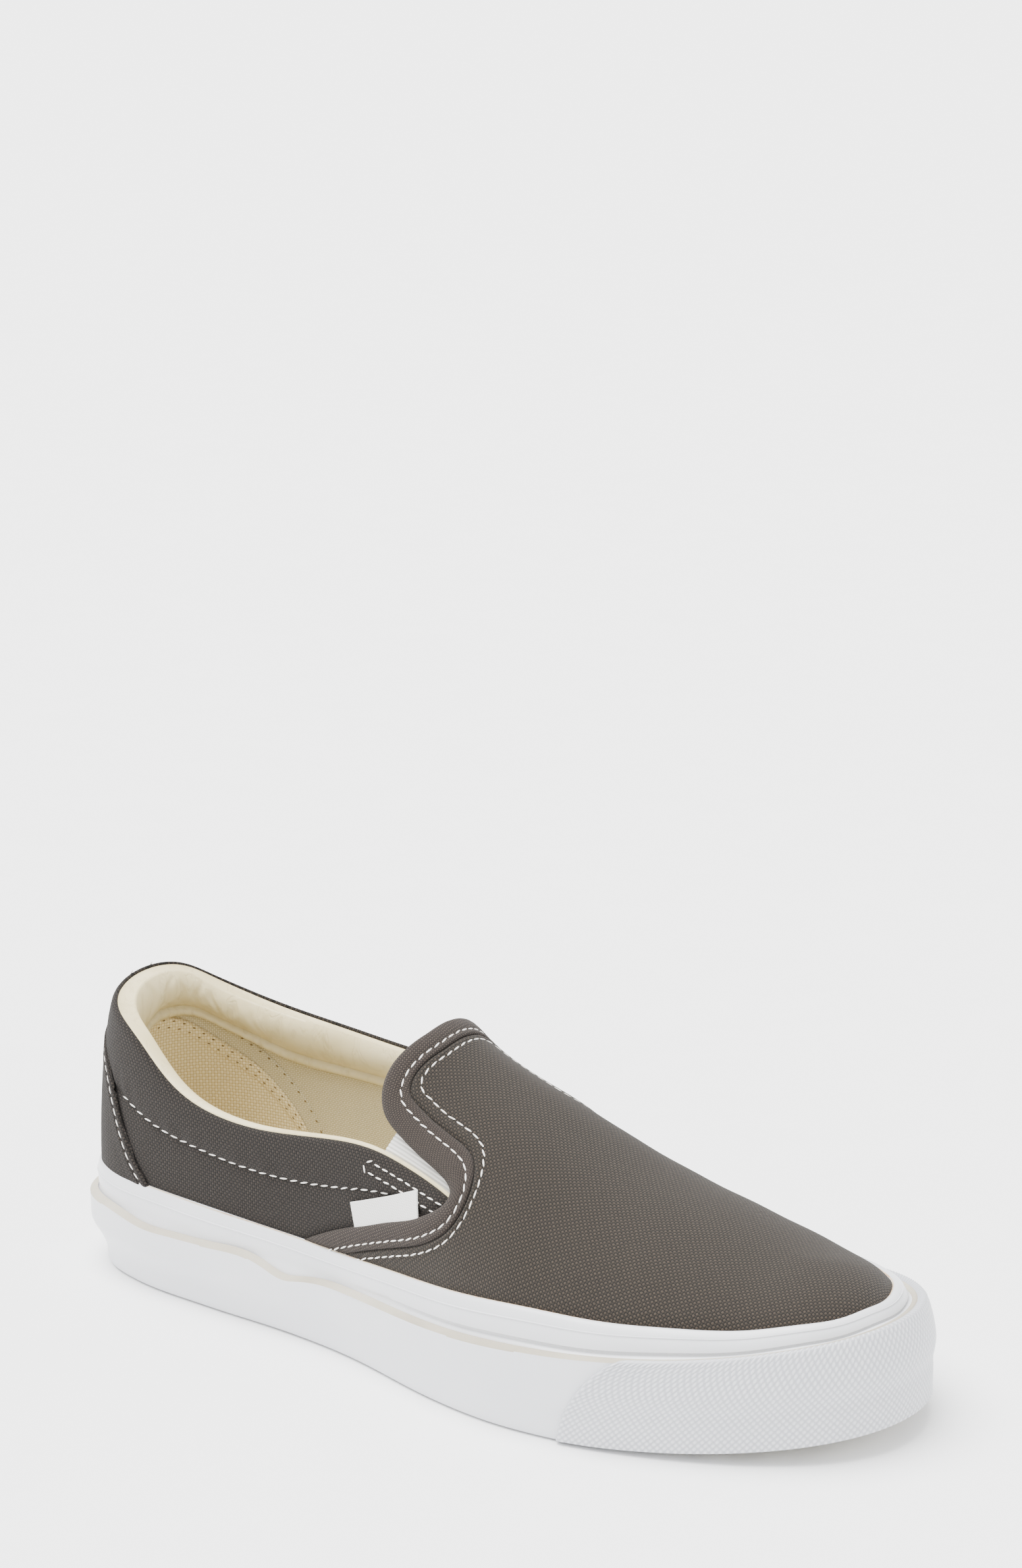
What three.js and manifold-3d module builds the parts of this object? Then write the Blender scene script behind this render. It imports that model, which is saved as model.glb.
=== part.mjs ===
// Slip-on canvas sneaker with elastic gores and a wrapped rubber sole, right shoe.
// Millimetres. +X points to the toe, +Y to the inner side of the foot, +Z up, ground at z = 0.
import * as THREE from 'three';
import { LoftGeometry } from 'three/addons/geometries/LoftGeometry.js';
import { mergeVertices } from 'three/addons/utils/BufferGeometryUtils.js';
import Module from 'manifold-3d';

const wasm = await Module();
wasm.setup();

// Driving dimensions
const shoeLength = 280;
const ballWidth = 103;
const collarHeight = 85;
const instepHeight = 86;
const toeSpring = 6.5;
const collarTilt = 0.09;
const wallHeight = 22;
const rubberHeight = 32;
const featherHeight = 16;
const outsoleThickness = 5.5;
const insoleThickness = 4;

// Thicknesses of the layers, from the outside in, and the gap between two layers
const bumperThickness = 1.1;
const foxingThickness = 2.4;
const tapeThickness = 1.8;
const overlayThickness = 1.1;
const canvasWall = 1.8;
const padThickness = 6;
const padEndThickness = 2.4;
const goreThickness = 1.2;
const tagThickness = 0.8;
const clearance = 0.3;

// Tread, sewn bands and the tag
const grooveDepth = 1.4;
const grooveWidth = 3;
const groovePitch = 12;
const treadRim = 6;
const footGap = 0.5;
const cutSlant = 1.2;
const tuckPower = 1.6;
const bindingWidth = 6.5;
const padDepth = 24;
const tagLength = 25;
const tagHeight = 6;

// Stations round the shoe, steps up its side, and points along the sewn edges
const stationCount = 56;
const riseCount = 14;
const padStations = 32;
const bumperStations = 24;
const edgeSteps = 56;
const collarSteps = 30;
const counterSteps = 20;

// Outline of the rubber in plan. Shares of shoeLength, and of ballWidth to each side.
const outlineRows = [
  { along: 0.04, lateral: 0.25, medial: 0.245 },
  { along: 0.1, lateral: 0.33, medial: 0.322 },
  { along: 0.19, lateral: 0.361, medial: 0.352 },
  { along: 0.3, lateral: 0.366, medial: 0.35 },
  { along: 0.41, lateral: 0.379, medial: 0.345 },
  { along: 0.5, lateral: 0.425, medial: 0.368 },
  { along: 0.58, lateral: 0.476, medial: 0.415 },
  { along: 0.66, lateral: 0.4995, medial: 0.463 },
  { along: 0.74, lateral: 0.482, medial: 0.495 },
  { along: 0.82, lateral: 0.422, medial: 0.49 },
  { along: 0.9, lateral: 0.325, medial: 0.425 },
  { along: 0.96, lateral: 0.205, medial: 0.305 },
];
const toeTipShare = 0.04;

// Sections of the last. The ridge's place is in shares of shoeLength, instepHeight and ballWidth.
// The handles of the section curve are shares of its height (side) and half width (top, lean).
const lastRows = [
  { along: 0, ridgeAlong: 0.14, ridgeHeight: 1.56, ridgeShift: 0, side: 0.5, top: 0.62, lean: 0.05 },
  { along: 0.12, ridgeAlong: 0.19, ridgeHeight: 1.5, ridgeShift: 0, side: 0.5, top: 0.72, lean: 0.04 },
  { along: 0.28, ridgeAlong: 0.29, ridgeHeight: 1.36, ridgeShift: 0, side: 0.5, top: 0.82, lean: 0.03 },
  { along: 0.4, ridgeAlong: 0.395, ridgeHeight: 1.15, ridgeShift: 0.01, side: 0.5, top: 0.78, lean: 0.02 },
  { along: 0.5, ridgeAlong: 0.49, ridgeHeight: 0.95, ridgeShift: 0.02, side: 0.5, top: 0.68, lean: 0.02 },
  { along: 0.6, ridgeAlong: 0.585, ridgeHeight: 0.815, ridgeShift: 0.03, side: 0.5, top: 0.62, lean: 0.02 },
  { along: 0.7, ridgeAlong: 0.68, ridgeHeight: 0.672, ridgeShift: 0.04, side: 0.5, top: 0.62, lean: 0.02 },
  { along: 0.8, ridgeAlong: 0.765, ridgeHeight: 0.588, ridgeShift: 0.05, side: 0.5, top: 0.62, lean: 0.01 },
  { along: 0.9, ridgeAlong: 0.84, ridgeHeight: 0.522, ridgeShift: 0.06, side: 0.56, top: 0.67, lean: 0 },
  { along: 1, ridgeAlong: 0.88, ridgeHeight: 0.505, ridgeShift: 0.06, side: 0.62, top: 0.72, lean: 0 },
];

// Heights of the rubber over the bottom edge of the sole, as shares of wallHeight and
// rubberHeight, and how far the wall's foot is tucked in under it, as a share of treadRim.
const soleRows = [
  { along: 0, wall: 1.02, rubber: 0.99, tuck: 0.7 },
  { along: 0.2, wall: 0.98, rubber: 0.98, tuck: 0.6 },
  { along: 0.45, wall: 0.94, rubber: 0.92, tuck: 0.25 },
  { along: 0.6, wall: 1.02, rubber: 1.0, tuck: 0.12 },
  { along: 0.72, wall: 1.08, rubber: 1.02, tuck: 0.1 },
  { along: 0.85, wall: 1.11, rubber: 0.97, tuck: 0.08 },
  { along: 1, wall: 1.17, rubber: 0.93, tuck: 0.08 },
];
const springShare = 0.72;
const bumperShare = 0.74;

// Side view of the opening and of the sewn edges. Shares of shoeLength, and of collarHeight
// or instepHeight. The vamp's edge runs from the throat down to the notch and back to the rubber.
const collarRows = [
  { along: -0.02, up: 1.02 },
  { along: 0.03, up: 1 },
  { along: 0.07, up: 0.96 },
  { along: 0.118, up: 0.905 },
  { along: 0.176, up: 0.79 },
  { along: 0.245, up: 0.72 },
  { along: 0.306, up: 0.71 },
  { along: 0.38, up: 0.73 },
  { along: 0.45, up: 0.738 },
  { along: 0.5, up: 0.71 },
  { along: 0.56, up: 0.66 },
];
const innerCollarRows = [
  { along: -0.02, up: 1.01 },
  { along: 0.03, up: 1 },
  { along: 0.045, up: 0.98 },
  { along: 0.065, up: 0.93 },
  { along: 0.1, up: 0.868 },
  { along: 0.155, up: 0.819 },
  { along: 0.23, up: 0.789 },
  { along: 0.309, up: 0.772 },
  { along: 0.4, up: 0.766 },
  { along: 0.45, up: 0.757 },
  { along: 0.5, up: 0.728 },
  { along: 0.56, up: 0.66 },
];
const throatRows = [
  { along: 0.475, up: 1.09 },
  { along: 0.462, up: 1.05 },
  { along: 0.454, up: 1.015 },
  { along: 0.448, up: 0.965 },
  { along: 0.449, up: 0.895 },
  { along: 0.461, up: 0.83 },
  { along: 0.48, up: 0.79 },
  { along: 0.505, up: 0.752 },
  { along: 0.535, up: 0.717 },
  { along: 0.555, up: 0.69 },
  { along: 0.5645, up: 0.66 },
];
const wingRows = [
  { along: 0.563, up: 0.642 },
  { along: 0.552, up: 0.61 },
  { along: 0.535, up: 0.58 },
  { along: 0.505, up: 0.545 },
  { along: 0.445, up: 0.478 },
  { along: 0.39, up: 0.405 },
  { along: 0.33, up: 0.3 },
];
const counterRows = [
  { along: 0.17, up: 0.28 },
  { along: 0.15, up: 0.37 },
  { along: 0.127, up: 0.45 },
  { along: 0.1, up: 0.6 },
  { along: 0.072, up: 0.75 },
  { along: 0.045, up: 0.83 },
  { along: -0.05, up: 0.86 },
];
const goreCorners = [
  { along: 0.458, up: 0.66 },
  { along: 0.478, up: 0.8 },
  { along: 0.6, up: 0.69 },
  { along: 0.575, up: 0.575 },
  { along: 0.555, up: 0.575 },
];
// Section of the collar padding, as shares of padDepth under the collar and of its thickness
const padRows = [
  { down: 1, depth: 0.35 },
  { down: 1, depth: 0 },
  { down: 0.55, depth: 0 },
  { down: 0.1, depth: 0 },
  { down: -0.067, depth: 0.15 },
  { down: -0.083, depth: 0.5 },
  { down: -0.05, depth: 0.85 },
  { down: 0.25, depth: 1 },
  { down: 0.65, depth: 0.8 },
];
const padEndShare = 0.45;
const tagPlace = { alongShare: 0.446, upShare: 0.487, slope: 0.36 };

// Curve of continuous curvature through values at rising knots, closed if it has a period
function smoothCurve(knots, values, period = 0) {
  const count = knots.length;
  const span = (i) => (i + 1 < count ? knots[i + 1] : knots[0] + period) - knots[i];
  const bend = new Array(count).fill(0);
  const first = period ? 0 : 1;
  const end = period ? count : count - 1;
  const rounds = 80;
  for (let round = 0; round < rounds; round++) {
    for (let i = first; i < end; i++) {
      const before = (i + count - 1) % count;
      const after = (i + 1) % count;
      const [h0, h1] = [span(before), span(i)];
      const turn = (values[after] - values[i]) / h1 - (values[i] - values[before]) / h0;
      bend[i] = (6 * turn - h0 * bend[before] - h1 * bend[after]) / (2 * (h0 + h1));
    }
  }
  return (at) => {
    const t = period ? knots[0] + ((((at - knots[0]) % period) + period) % period) : at;
    let i = 0;
    while (i < count - (period ? 1 : 2) && t > knots[i + 1]) i++;
    const after = (i + 1) % count;
    const h = span(i);
    const a = (knots[i] + h - t) / h;
    const b = 1 - a;
    const curved = ((a ** 3 - a) * bend[i] + (b ** 3 - b) * bend[after]) * (h * h) / 6;
    return a * values[i] + b * values[after] + curved;
  };
}

const column = (rows, name) => smoothCurve(rows.map((r) => r.along), rows.map((r) => r[name]));
const columns = (rows, names) => Object.fromEntries(names.map((name) => [name, column(rows, name)]));
const sole = columns(soleRows, ['wall', 'rubber', 'tuck']);
const last = columns(lastRows, ['ridgeAlong', 'ridgeHeight', 'ridgeShift', 'side', 'top', 'lean']);
const collarUp = column(collarRows, 'up');
const innerCollarUp = column(innerCollarRows, 'up');

// A station is an angle round the shoe: 0 at the heel, pi at the toe tip, lateral side between
const alongAt = (angle) => (1 - Math.cos(angle)) / 2;
const angleAt = (along) => Math.acos(1 - 2 * along);
const xAt = (along) => (along - 0.5) * shoeLength;
const alongOf = (x) => x / shoeLength + 0.5;
const otherSide = (angle) => 2 * Math.PI - angle;

const outlineKnots = [
  { angle: 0, across: 0 },
  ...outlineRows.map((r) => ({ angle: angleAt(r.along), across: -r.lateral })),
  { angle: Math.PI, across: toeTipShare },
  ...[...outlineRows].reverse().map((r) => ({ angle: otherSide(angleAt(r.along)), across: r.medial })),
];
const acrossAt = smoothCurve(
  outlineKnots.map((k) => k.angle),
  outlineKnots.map((k) => k.across),
  2 * Math.PI,
);
const plan = (angle) => new THREE.Vector2(xAt(alongAt(angle)), acrossAt(angle) * ballWidth);

// Point of the outline moved into the shoe by an inset, square to the outline, at a height
function rim(angle, inset, z) {
  const step = 0.01;
  const run = plan(angle + step).sub(plan(angle - step)).normalize();
  const p = plan(angle).addScaledVector(new THREE.Vector2(-run.y, run.x), inset);
  return new THREE.Vector3(p.x, p.y, z);
}

// Height of the bottom edge over the ground: flat to the ball, then the toe spring
function bottomAt(along) {
  const s = Math.max(0, (along - springShare) / (1 - springShare));
  return toeSpring * s * s;
}
const wallTop = (along) => bottomAt(along) + wallHeight * sole.wall(along);
const rubberTop = (along) => bottomAt(along) + rubberHeight * sole.rubber(along);
const featherTop = (along) => bottomAt(along) + featherHeight;
const tuckAt = (along) => treadRim * sole.tuck(along);

// The last: a section curve at each station, from the feather edge up to the ridge
const lastInset = foxingThickness + tapeThickness + 2 * clearance;
const ridgeRise = 0.999;

function ridge(along) {
  return new THREE.Vector3(
    xAt(last.ridgeAlong(along)),
    last.ridgeShift(along) * ballWidth,
    last.ridgeHeight(along) * instepHeight,
  );
}

function ridgeSlope(along) {
  const step = 0.01;
  const low = ridge(Math.max(0, along - step));
  const high = ridge(Math.min(1, along + step));
  return (high.z - low.z) / (high.x - low.x);
}

function sectionCurve(angle) {
  const along = alongAt(angle);
  const foot = rim(angle, lastInset, featherTop(along));
  const top = ridge(along);
  const out = new THREE.Vector3(foot.x - top.x, foot.y - top.y, 0);
  const side = foot.clone().addScaledVector(out, last.lean(along));
  side.z += last.side(along) * (top.z - foot.z);
  const shoulder = top.clone().addScaledVector(out, last.top(along));
  shoulder.z += last.top(along) * out.x * ridgeSlope(along);
  return new THREE.CubicBezierCurve3(foot, side, shoulder, top);
}

function lastNormal(angle, rise) {
  if (rise > ridgeRise) return new THREE.Vector3(-ridgeSlope(alongAt(angle)), 0, 1).normalize();
  const step = 0.01;
  const up = sectionCurve(angle).getTangent(rise);
  const ahead = sectionCurve(angle + step).getPoint(rise);
  const round = ahead.sub(sectionCurve(angle - step).getPoint(rise));
  return round.cross(up).normalize();
}

// Point of the last's surface, moved out along its normal
function skin(angle, rise, offset) {
  return sectionCurve(angle).getPoint(rise).addScaledVector(lastNormal(angle, rise), offset);
}

// Rise at which the section curve meets a height that may depend on the place along the shoe
function riseWhere(angle, heightAt) {
  const curve = sectionCurve(angle);
  let [low, high] = [0, 1];
  const halvings = 30;
  for (let i = 0; i < halvings; i++) {
    const middle = (low + high) / 2;
    const p = curve.getPoint(middle);
    if (p.z < heightAt(alongOf(p.x), p)) low = middle;
    else high = middle;
  }
  return (low + high) / 2;
}

function spread(from, to, count) {
  return Array.from({ length: count + 1 }, (_, i) => from + ((to - from) * i) / count);
}
const halfRound = spread(Math.PI, 0, stationCount / 2);
const fullRound = spread(0, 2 * Math.PI, stationCount).slice(0, -1);

// Closed solid of a geometry whose faces point out
function solidOf(geometry) {
  const bare = new THREE.BufferGeometry().copy(geometry);
  bare.deleteAttribute('normal');
  bare.deleteAttribute('uv');
  const { attributes, index } = mergeVertices(bare, 1e-3);
  const kept = [];
  for (let i = 0; i < index.count; i += 3) {
    const [a, b, c] = index.array.slice(i, i + 3);
    if (a !== b && b !== c && c !== a) kept.push(a, b, c);
  }
  return new wasm.Manifold(new wasm.Mesh({
    numProp: 3,
    vertProperties: new Float32Array(attributes.position.array),
    triVerts: new Uint32Array(kept),
  }));
}

// Solid through sections, each a closed line of points. A ring returns to its first section.
function loftSolid(sections, { ring = false, caps = false } = {}) {
  const all = ring ? [...sections, sections[0].map((p) => p.clone())] : sections;
  return solidOf(new LoftGeometry(all, { closed: true, capStart: caps, capEnd: caps }));
}

// Prism across the shoe whose side view is a closed outline, higher on the inner side by a tilt
function sidePrism(outline, { from = -ballWidth, to = ballWidth, tilt = 0 } = {}) {
  const run = { depth: to - from, bevelEnabled: false };
  const prism = new THREE.ExtrudeGeometry(new THREE.Shape(outline), run);
  prism.rotateX(Math.PI / 2).translate(0, to, 0);
  prism.applyMatrix4(new THREE.Matrix4().makeShear(0, 0, 0, tilt, 0, 0));
  return solidOf(prism);
}

const sidePoints = (rows, height) => rows.map((r) => new THREE.Vector2(xAt(r.along), r.up * height));
const vampRows = [...throatRows, ...wingRows];
const vampEdge = new THREE.SplineCurve(sidePoints(vampRows, instepHeight)).getPoints(edgeSteps);
const notchStep = Math.round((edgeSteps * (throatRows.length - 1)) / (vampRows.length - 1));
const throatEdge = vampEdge.slice(0, notchStep + 1);
const collarLine = (along, up = collarUp) => new THREE.Vector2(xAt(along), up(along) * collarHeight);

// Side-view line moved square to its run, to its left for a positive distance
function besideLine(points, distance) {
  const end = points.length - 1;
  return points.map((p, i) => {
    const run = points[Math.min(i + 1, end)].clone().sub(points[Math.max(i - 1, 0)]).normalize();
    return new THREE.Vector2(p.x - run.y * distance, p.y + run.x * distance);
  });
}

// Shell between two offsets from the last's surface, open underneath
function lastShell(outer, inner) {
  const rises = spread(0, 1, riseCount);
  const arch = (angle, offset) => [
    ...rises.map((rise) => skin(angle, rise, offset)),
    ...rises.slice(0, -1).reverse().map((rise) => skin(otherSide(angle), rise, offset)),
  ];
  return loftSolid(halfRound.map((angle) => [...arch(angle, outer), ...arch(angle, inner).reverse()]));
}

// Upper: canvas shell, cut away behind the throat and over the collar, whose edge has its own
// line on the inner side
function upperSolid() {
  const notch = throatEdge.at(-1);
  const behind = xAt(collarRows[0].along);
  const above = 2 * instepHeight;
  const overLine = (up) => {
    const alongs = spread(collarRows[0].along, collarRows.at(-1).along, collarSteps);
    const collar = alongs.map((along) => collarLine(along, up));
    return [
      ...collar,
      new THREE.Vector2(notch.x, collar.at(-1).y),
      new THREE.Vector2(notch.x, above),
      new THREE.Vector2(behind, above),
    ];
  };
  const overOuter = sidePrism(overLine(collarUp), { to: 0, tilt: collarTilt });
  const overInner = sidePrism(overLine(innerCollarUp), { from: 0, tilt: collarTilt });
  const overCollar = overOuter.add(overInner);
  const behindThroat = sidePrism([
    ...throatEdge,
    new THREE.Vector2(notch.x, 0),
    new THREE.Vector2(behind, 0),
    new THREE.Vector2(behind, above),
    new THREE.Vector2(throatEdge[0].x, above),
  ], { tilt: collarTilt });
  return lastShell(0, -canvasWall).subtract(overCollar.intersect(behindThroat));
}

// Layer of canvas sewn on the outside of the upper
const overlayShell = (thickness) => lastShell(clearance + thickness, clearance);
function overRubber() {
  const foot = halfRound.map((angle) => {
    const line = skin(angle, riseWhere(angle, () => rubberTop(alongAt(angle))), overlayThickness);
    return new THREE.Vector2(line.x, line.z + 2 * clearance);
  });
  const above = 2 * instepHeight;
  const corners = [foot.at(-1).x, foot[0].x].map((x) => new THREE.Vector2(x, above));
  return sidePrism([...foot, ...corners]);
}

// Vamp binding: folded canvas band along the vamp's edge, from the throat down both wings
function bindingSolid() {
  const inner = besideLine(vampEdge, bindingWidth);
  const band = sidePrism([...vampEdge, ...inner.reverse()], { tilt: collarTilt });
  return overlayShell(overlayThickness).intersect(band).intersect(overRubber());
}

// Heel counter: folded canvas panel over the back of the heel
function counterSolid() {
  const edge = new THREE.SplineCurve(sidePoints(counterRows, collarHeight)).getPoints(counterSteps);
  const panel = sidePrism([...edge, new THREE.Vector2(edge.at(-1).x, edge[0].y)]);
  return overlayShell(overlayThickness).intersect(panel).intersect(overRubber());
}

// Side tag: small folded label sewn in over the wing of the outer side
function tagSolid() {
  const start = new THREE.Vector2(xAt(tagPlace.alongShare), tagPlace.upShare * instepHeight);
  const run = new THREE.Vector2(1, tagPlace.slope).normalize();
  const up = new THREE.Vector2(-run.y, run.x);
  const corner = (along, height) => start.clone().addScaledVector(run, along).addScaledVector(up, height);
  const patch = [corner(0, 0), corner(tagLength, 0), corner(tagLength, tagHeight), corner(0, tagHeight)];
  return overlayShell(tagThickness).intersect(sidePrism(patch, { to: 0, tilt: collarTilt }));
}

// Gore: elastic panel behind the notch, sewn to the inside of quarter and vamp
function goreSolid(lateral) {
  const outer = -canvasWall - clearance;
  const reach = lateral ? { to: 0 } : { from: 0 };
  const panel = sidePrism(sidePoints(goreCorners, instepHeight), { ...reach, tilt: collarTilt });
  return lastShell(outer, outer - goreThickness).intersect(panel);
}

// Collar padding: padded ring inside the collar, thickest at the heel, with a rounded rim
function padSection(angle) {
  const thick = THREE.MathUtils.mapLinear(alongAt(angle), 0, padEndShare, padThickness, padEndThickness);
  return padRows.map((row) => {
    const up = (along, y) => (y > 0 ? innerCollarUp(along) : collarUp(along));
    const line = (along, p) => up(along, p.y) * collarHeight + collarTilt * p.y - row.down * padDepth;
    return skin(angle, riseWhere(angle, line), -canvasWall - clearance - row.depth * thick);
  });
}

function paddingSolid() {
  const end = angleAt(padEndShare);
  return loftSolid(spread(end, -end, padStations).map(padSection), { caps: true });
}

// Face of the rubber wall at a height, moved out: tucked in at its foot, along the last above
function wallFace(angle, z, out) {
  const along = alongAt(angle);
  const feather = featherTop(along);
  if (z > feather) return skin(angle, riseWhere(angle, () => z), lastInset + out);
  const low = bottomAt(along) + footGap;
  const tuck = tuckAt(along) * ((feather - z) / (feather - low)) ** tuckPower;
  return rim(angle, tuck - out, z);
}

function wallHeights(along, top) {
  const low = bottomAt(along) + footGap;
  const feather = featherTop(along);
  return [...spread(low, feather, 3), ...spread(feather, top, 3).slice(1)];
}

const ringOf = (section) => loftSolid(fullRound.map(section), { ring: true });

// Lower foxing: rubber wall round the sole, its foot tucked in, its top edge cut at a slant
function foxingSection(angle) {
  const along = alongAt(angle);
  const high = wallTop(along);
  const outer = wallHeights(along, high - cutSlant).map((z) => wallFace(angle, z, 0));
  const inner = wallHeights(along, high).map((z) => wallFace(angle, z, -foxingThickness));
  return [...inner, wallFace(angle, high, -cutSlant), ...outer.reverse()];
}

// Upper foxing tape: thinner strip lapped over the foot of the canvas
function tapeSection(angle) {
  const along = alongAt(angle);
  const top = riseWhere(angle, () => rubberTop(along));
  const line = (offset) => spread(0, top, 5).map((rise) => skin(angle, rise, offset));
  return [...line(clearance), ...line(clearance + tapeThickness).reverse()];
}

// Toe bumper: strip over the front of the lower foxing
function bumperSection(angle) {
  const along = alongAt(angle);
  const heights = wallHeights(along, wallTop(along) - cutSlant);
  const line = (out) => heights.map((z) => wallFace(angle, z, out));
  return [...line(clearance), ...line(clearance + bumperThickness).reverse()];
}

function bumperSolid() {
  const start = angleAt(bumperShare);
  return loftSolid(spread(start, otherSide(start), bumperStations).map(bumperSection), { caps: true });
}

const colours = { canvas: 0x55504c, rubber: 0xe9ebee, cream: 0xe9e3cd, elastic: 0xe4e4e0 };

function piece(name, solid, colour, roughness) {
  const { vertProperties, triVerts } = solid.getMesh();
  const geometry = new THREE.BufferGeometry();
  geometry.setAttribute('position', new THREE.BufferAttribute(new Float32Array(vertProperties), 3));
  geometry.setIndex(new THREE.BufferAttribute(new Uint32Array(triVerts), 1));
  const material = new THREE.MeshStandardMaterial({ color: colour, roughness, metalness: 0 });
  const mesh = new THREE.Mesh(geometry, material);
  mesh.name = name;
  return mesh;
}

// Slab under the foot between two heights, its edge inset from the outline
function slab(insetAt, bottom, top) {
  const sections = halfRound.map((angle) => {
    const along = alongAt(angle);
    const inset = insetAt(along);
    return [
      rim(angle, inset, bottom(along)),
      rim(angle, inset, top(along)),
      rim(otherSide(angle), inset, top(along)),
      rim(otherSide(angle), inset, bottom(along)),
    ];
  });
  return loftSolid(sections);
}

// Outsole: rubber sheet under the foot, with straight grooves across its tread
function outsoleSolid() {
  const inset = (along) => foxingThickness + clearance + tuckAt(along);
  const sheet = slab(inset, bottomAt, (along) => bottomAt(along) + outsoleThickness);
  const grooves = [];
  for (let x = -shoeLength / 2 + groovePitch; x < shoeLength / 2 - groovePitch; x += groovePitch) {
    const floor = bottomAt(alongOf(x)) + grooveDepth;
    grooves.push(sidePrism([
      new THREE.Vector2(x - grooveWidth / 2, -grooveDepth),
      new THREE.Vector2(x + grooveWidth / 2, -grooveDepth),
      new THREE.Vector2(x + grooveWidth / 2, floor),
      new THREE.Vector2(x - grooveWidth / 2, floor),
    ]));
  }
  return grooves.reduce((solid, groove) => solid.subtract(groove), sheet);
}

// Midsole: rubber filler between the outsole and the foot
function midsoleSolid() {
  const inset = (along) => foxingThickness + clearance + tuckAt(along);
  const bottom = (along) => bottomAt(along) + outsoleThickness + clearance;
  return slab(inset, bottom, (along) => featherTop(along) - clearance);
}

// Insole: footbed on the midsole, against the inside of the upper
function insoleSolid() {
  const wall = -canvasWall - clearance;
  const edge = (angle) => {
    const top = featherTop(alongAt(angle)) + insoleThickness;
    return [skin(angle, 0, wall), skin(angle, riseWhere(angle, () => top), wall).setZ(top)];
  };
  return loftSolid(halfRound.map((angle) => [...edge(angle), ...edge(otherSide(angle)).reverse()]));
}

const shoe = new THREE.Group();
shoe.add(piece('upper', upperSolid(), colours.canvas, 0.9));
shoe.add(piece('vamp_binding', bindingSolid(), colours.canvas, 0.9));
shoe.add(piece('heel_counter', counterSolid(), colours.canvas, 0.9));
shoe.add(piece('collar_padding', paddingSolid(), colours.cream, 0.6));
shoe.add(piece('gore_lateral', goreSolid(true), colours.elastic, 0.85));
shoe.add(piece('gore_medial', goreSolid(false), colours.elastic, 0.85));
shoe.add(piece('side_tag', tagSolid(), colours.elastic, 0.8));
shoe.add(piece('lower_foxing', ringOf(foxingSection), colours.rubber, 0.45));
shoe.add(piece('upper_foxing', ringOf(tapeSection), colours.rubber, 0.4));
shoe.add(piece('toe_bumper', bumperSolid(), colours.rubber, 0.5));
shoe.add(piece('outsole', outsoleSolid(), colours.rubber, 0.6));
shoe.add(piece('midsole', midsoleSolid(), colours.rubber, 0.7));
shoe.add(piece('insole', insoleSolid(), colours.cream, 0.8));

// The origin is at the bottom centre of the whole shoe's box
const middle = new THREE.Box3().setFromObject(shoe).getCenter(new THREE.Vector3());
shoe.position.set(-middle.x, -middle.y, 0);

export default shoe;
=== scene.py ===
import math

import bmesh
import bpy
import numpy as np
from mathutils import Matrix, Vector


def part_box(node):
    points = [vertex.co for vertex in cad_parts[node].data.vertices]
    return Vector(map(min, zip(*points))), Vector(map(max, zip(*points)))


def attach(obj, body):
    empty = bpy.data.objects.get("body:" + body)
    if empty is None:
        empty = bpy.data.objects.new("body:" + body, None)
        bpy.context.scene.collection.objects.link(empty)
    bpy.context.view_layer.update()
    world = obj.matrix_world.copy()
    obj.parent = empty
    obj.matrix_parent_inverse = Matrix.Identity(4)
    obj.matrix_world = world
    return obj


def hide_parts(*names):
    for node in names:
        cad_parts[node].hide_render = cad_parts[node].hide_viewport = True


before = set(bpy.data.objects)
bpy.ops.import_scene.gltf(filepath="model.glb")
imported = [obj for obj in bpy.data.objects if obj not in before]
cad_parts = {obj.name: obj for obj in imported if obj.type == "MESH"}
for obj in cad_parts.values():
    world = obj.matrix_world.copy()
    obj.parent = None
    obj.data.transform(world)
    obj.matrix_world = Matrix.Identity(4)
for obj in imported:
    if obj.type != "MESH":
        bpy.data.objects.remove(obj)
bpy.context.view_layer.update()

MM = 0.001


# Camera: the photograph's view of the outer side, from the toe end and a little above,
# with a long lens. It aims over the shoe, so that the shoe stands low in the frame.
camera_target = Vector((-0.67 * MM, -0.6 * MM, 40 * MM))
camera_azimuth = math.radians(40)
camera_elevation = math.radians(20)
camera_roll = math.radians(-1.182)
camera_distance = 1150 * MM
aim_right = 11.437 * MM
aim_up = 116.139 * MM
sensor_width = 36
frame_widths_of_focus = 3.9907

back = Vector((
    math.sin(camera_azimuth) * math.cos(camera_elevation),
    -math.cos(camera_azimuth) * math.cos(camera_elevation),
    math.sin(camera_elevation),
))
right = Vector((math.cos(camera_azimuth), math.sin(camera_azimuth), 0))
eye = camera_target + camera_distance * back
aim = camera_target + aim_right * right + aim_up * back.cross(right)
look = (aim - eye).normalized()
across = look.cross(Vector((0, 0, 1))).normalized()
upward = across.cross(look)
rolled_across = across * math.cos(camera_roll) + upward * math.sin(camera_roll)
rolled_upward = upward * math.cos(camera_roll) - across * math.sin(camera_roll)
turn = Matrix((rolled_across, rolled_upward, -look)).transposed().to_4x4()

camera_data = bpy.data.cameras.new("camera")
camera_data.sensor_fit = "HORIZONTAL"
camera_data.sensor_width = sensor_width
camera_data.lens = sensor_width * frame_widths_of_focus
camera = bpy.data.objects.new("camera", camera_data)
camera.matrix_world = Matrix.Translation(eye) @ turn
bpy.context.scene.collection.objects.link(camera)
bpy.context.scene.camera = camera


# Studio: a plain pale floor, a white room all round, and one wide soft light from above the
# heel. The light is a sun with a large disc, so the floor is lit evenly.
floor_size = 12.0
floor_tone = 0xFCFCFC
room_tone = 0xFFFFFF
room_strength = 2.0
sun_strength = 8.0
sun_disc = math.radians(50)
sun_from = Vector((-0.22, -0.12, 1.0))


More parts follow.
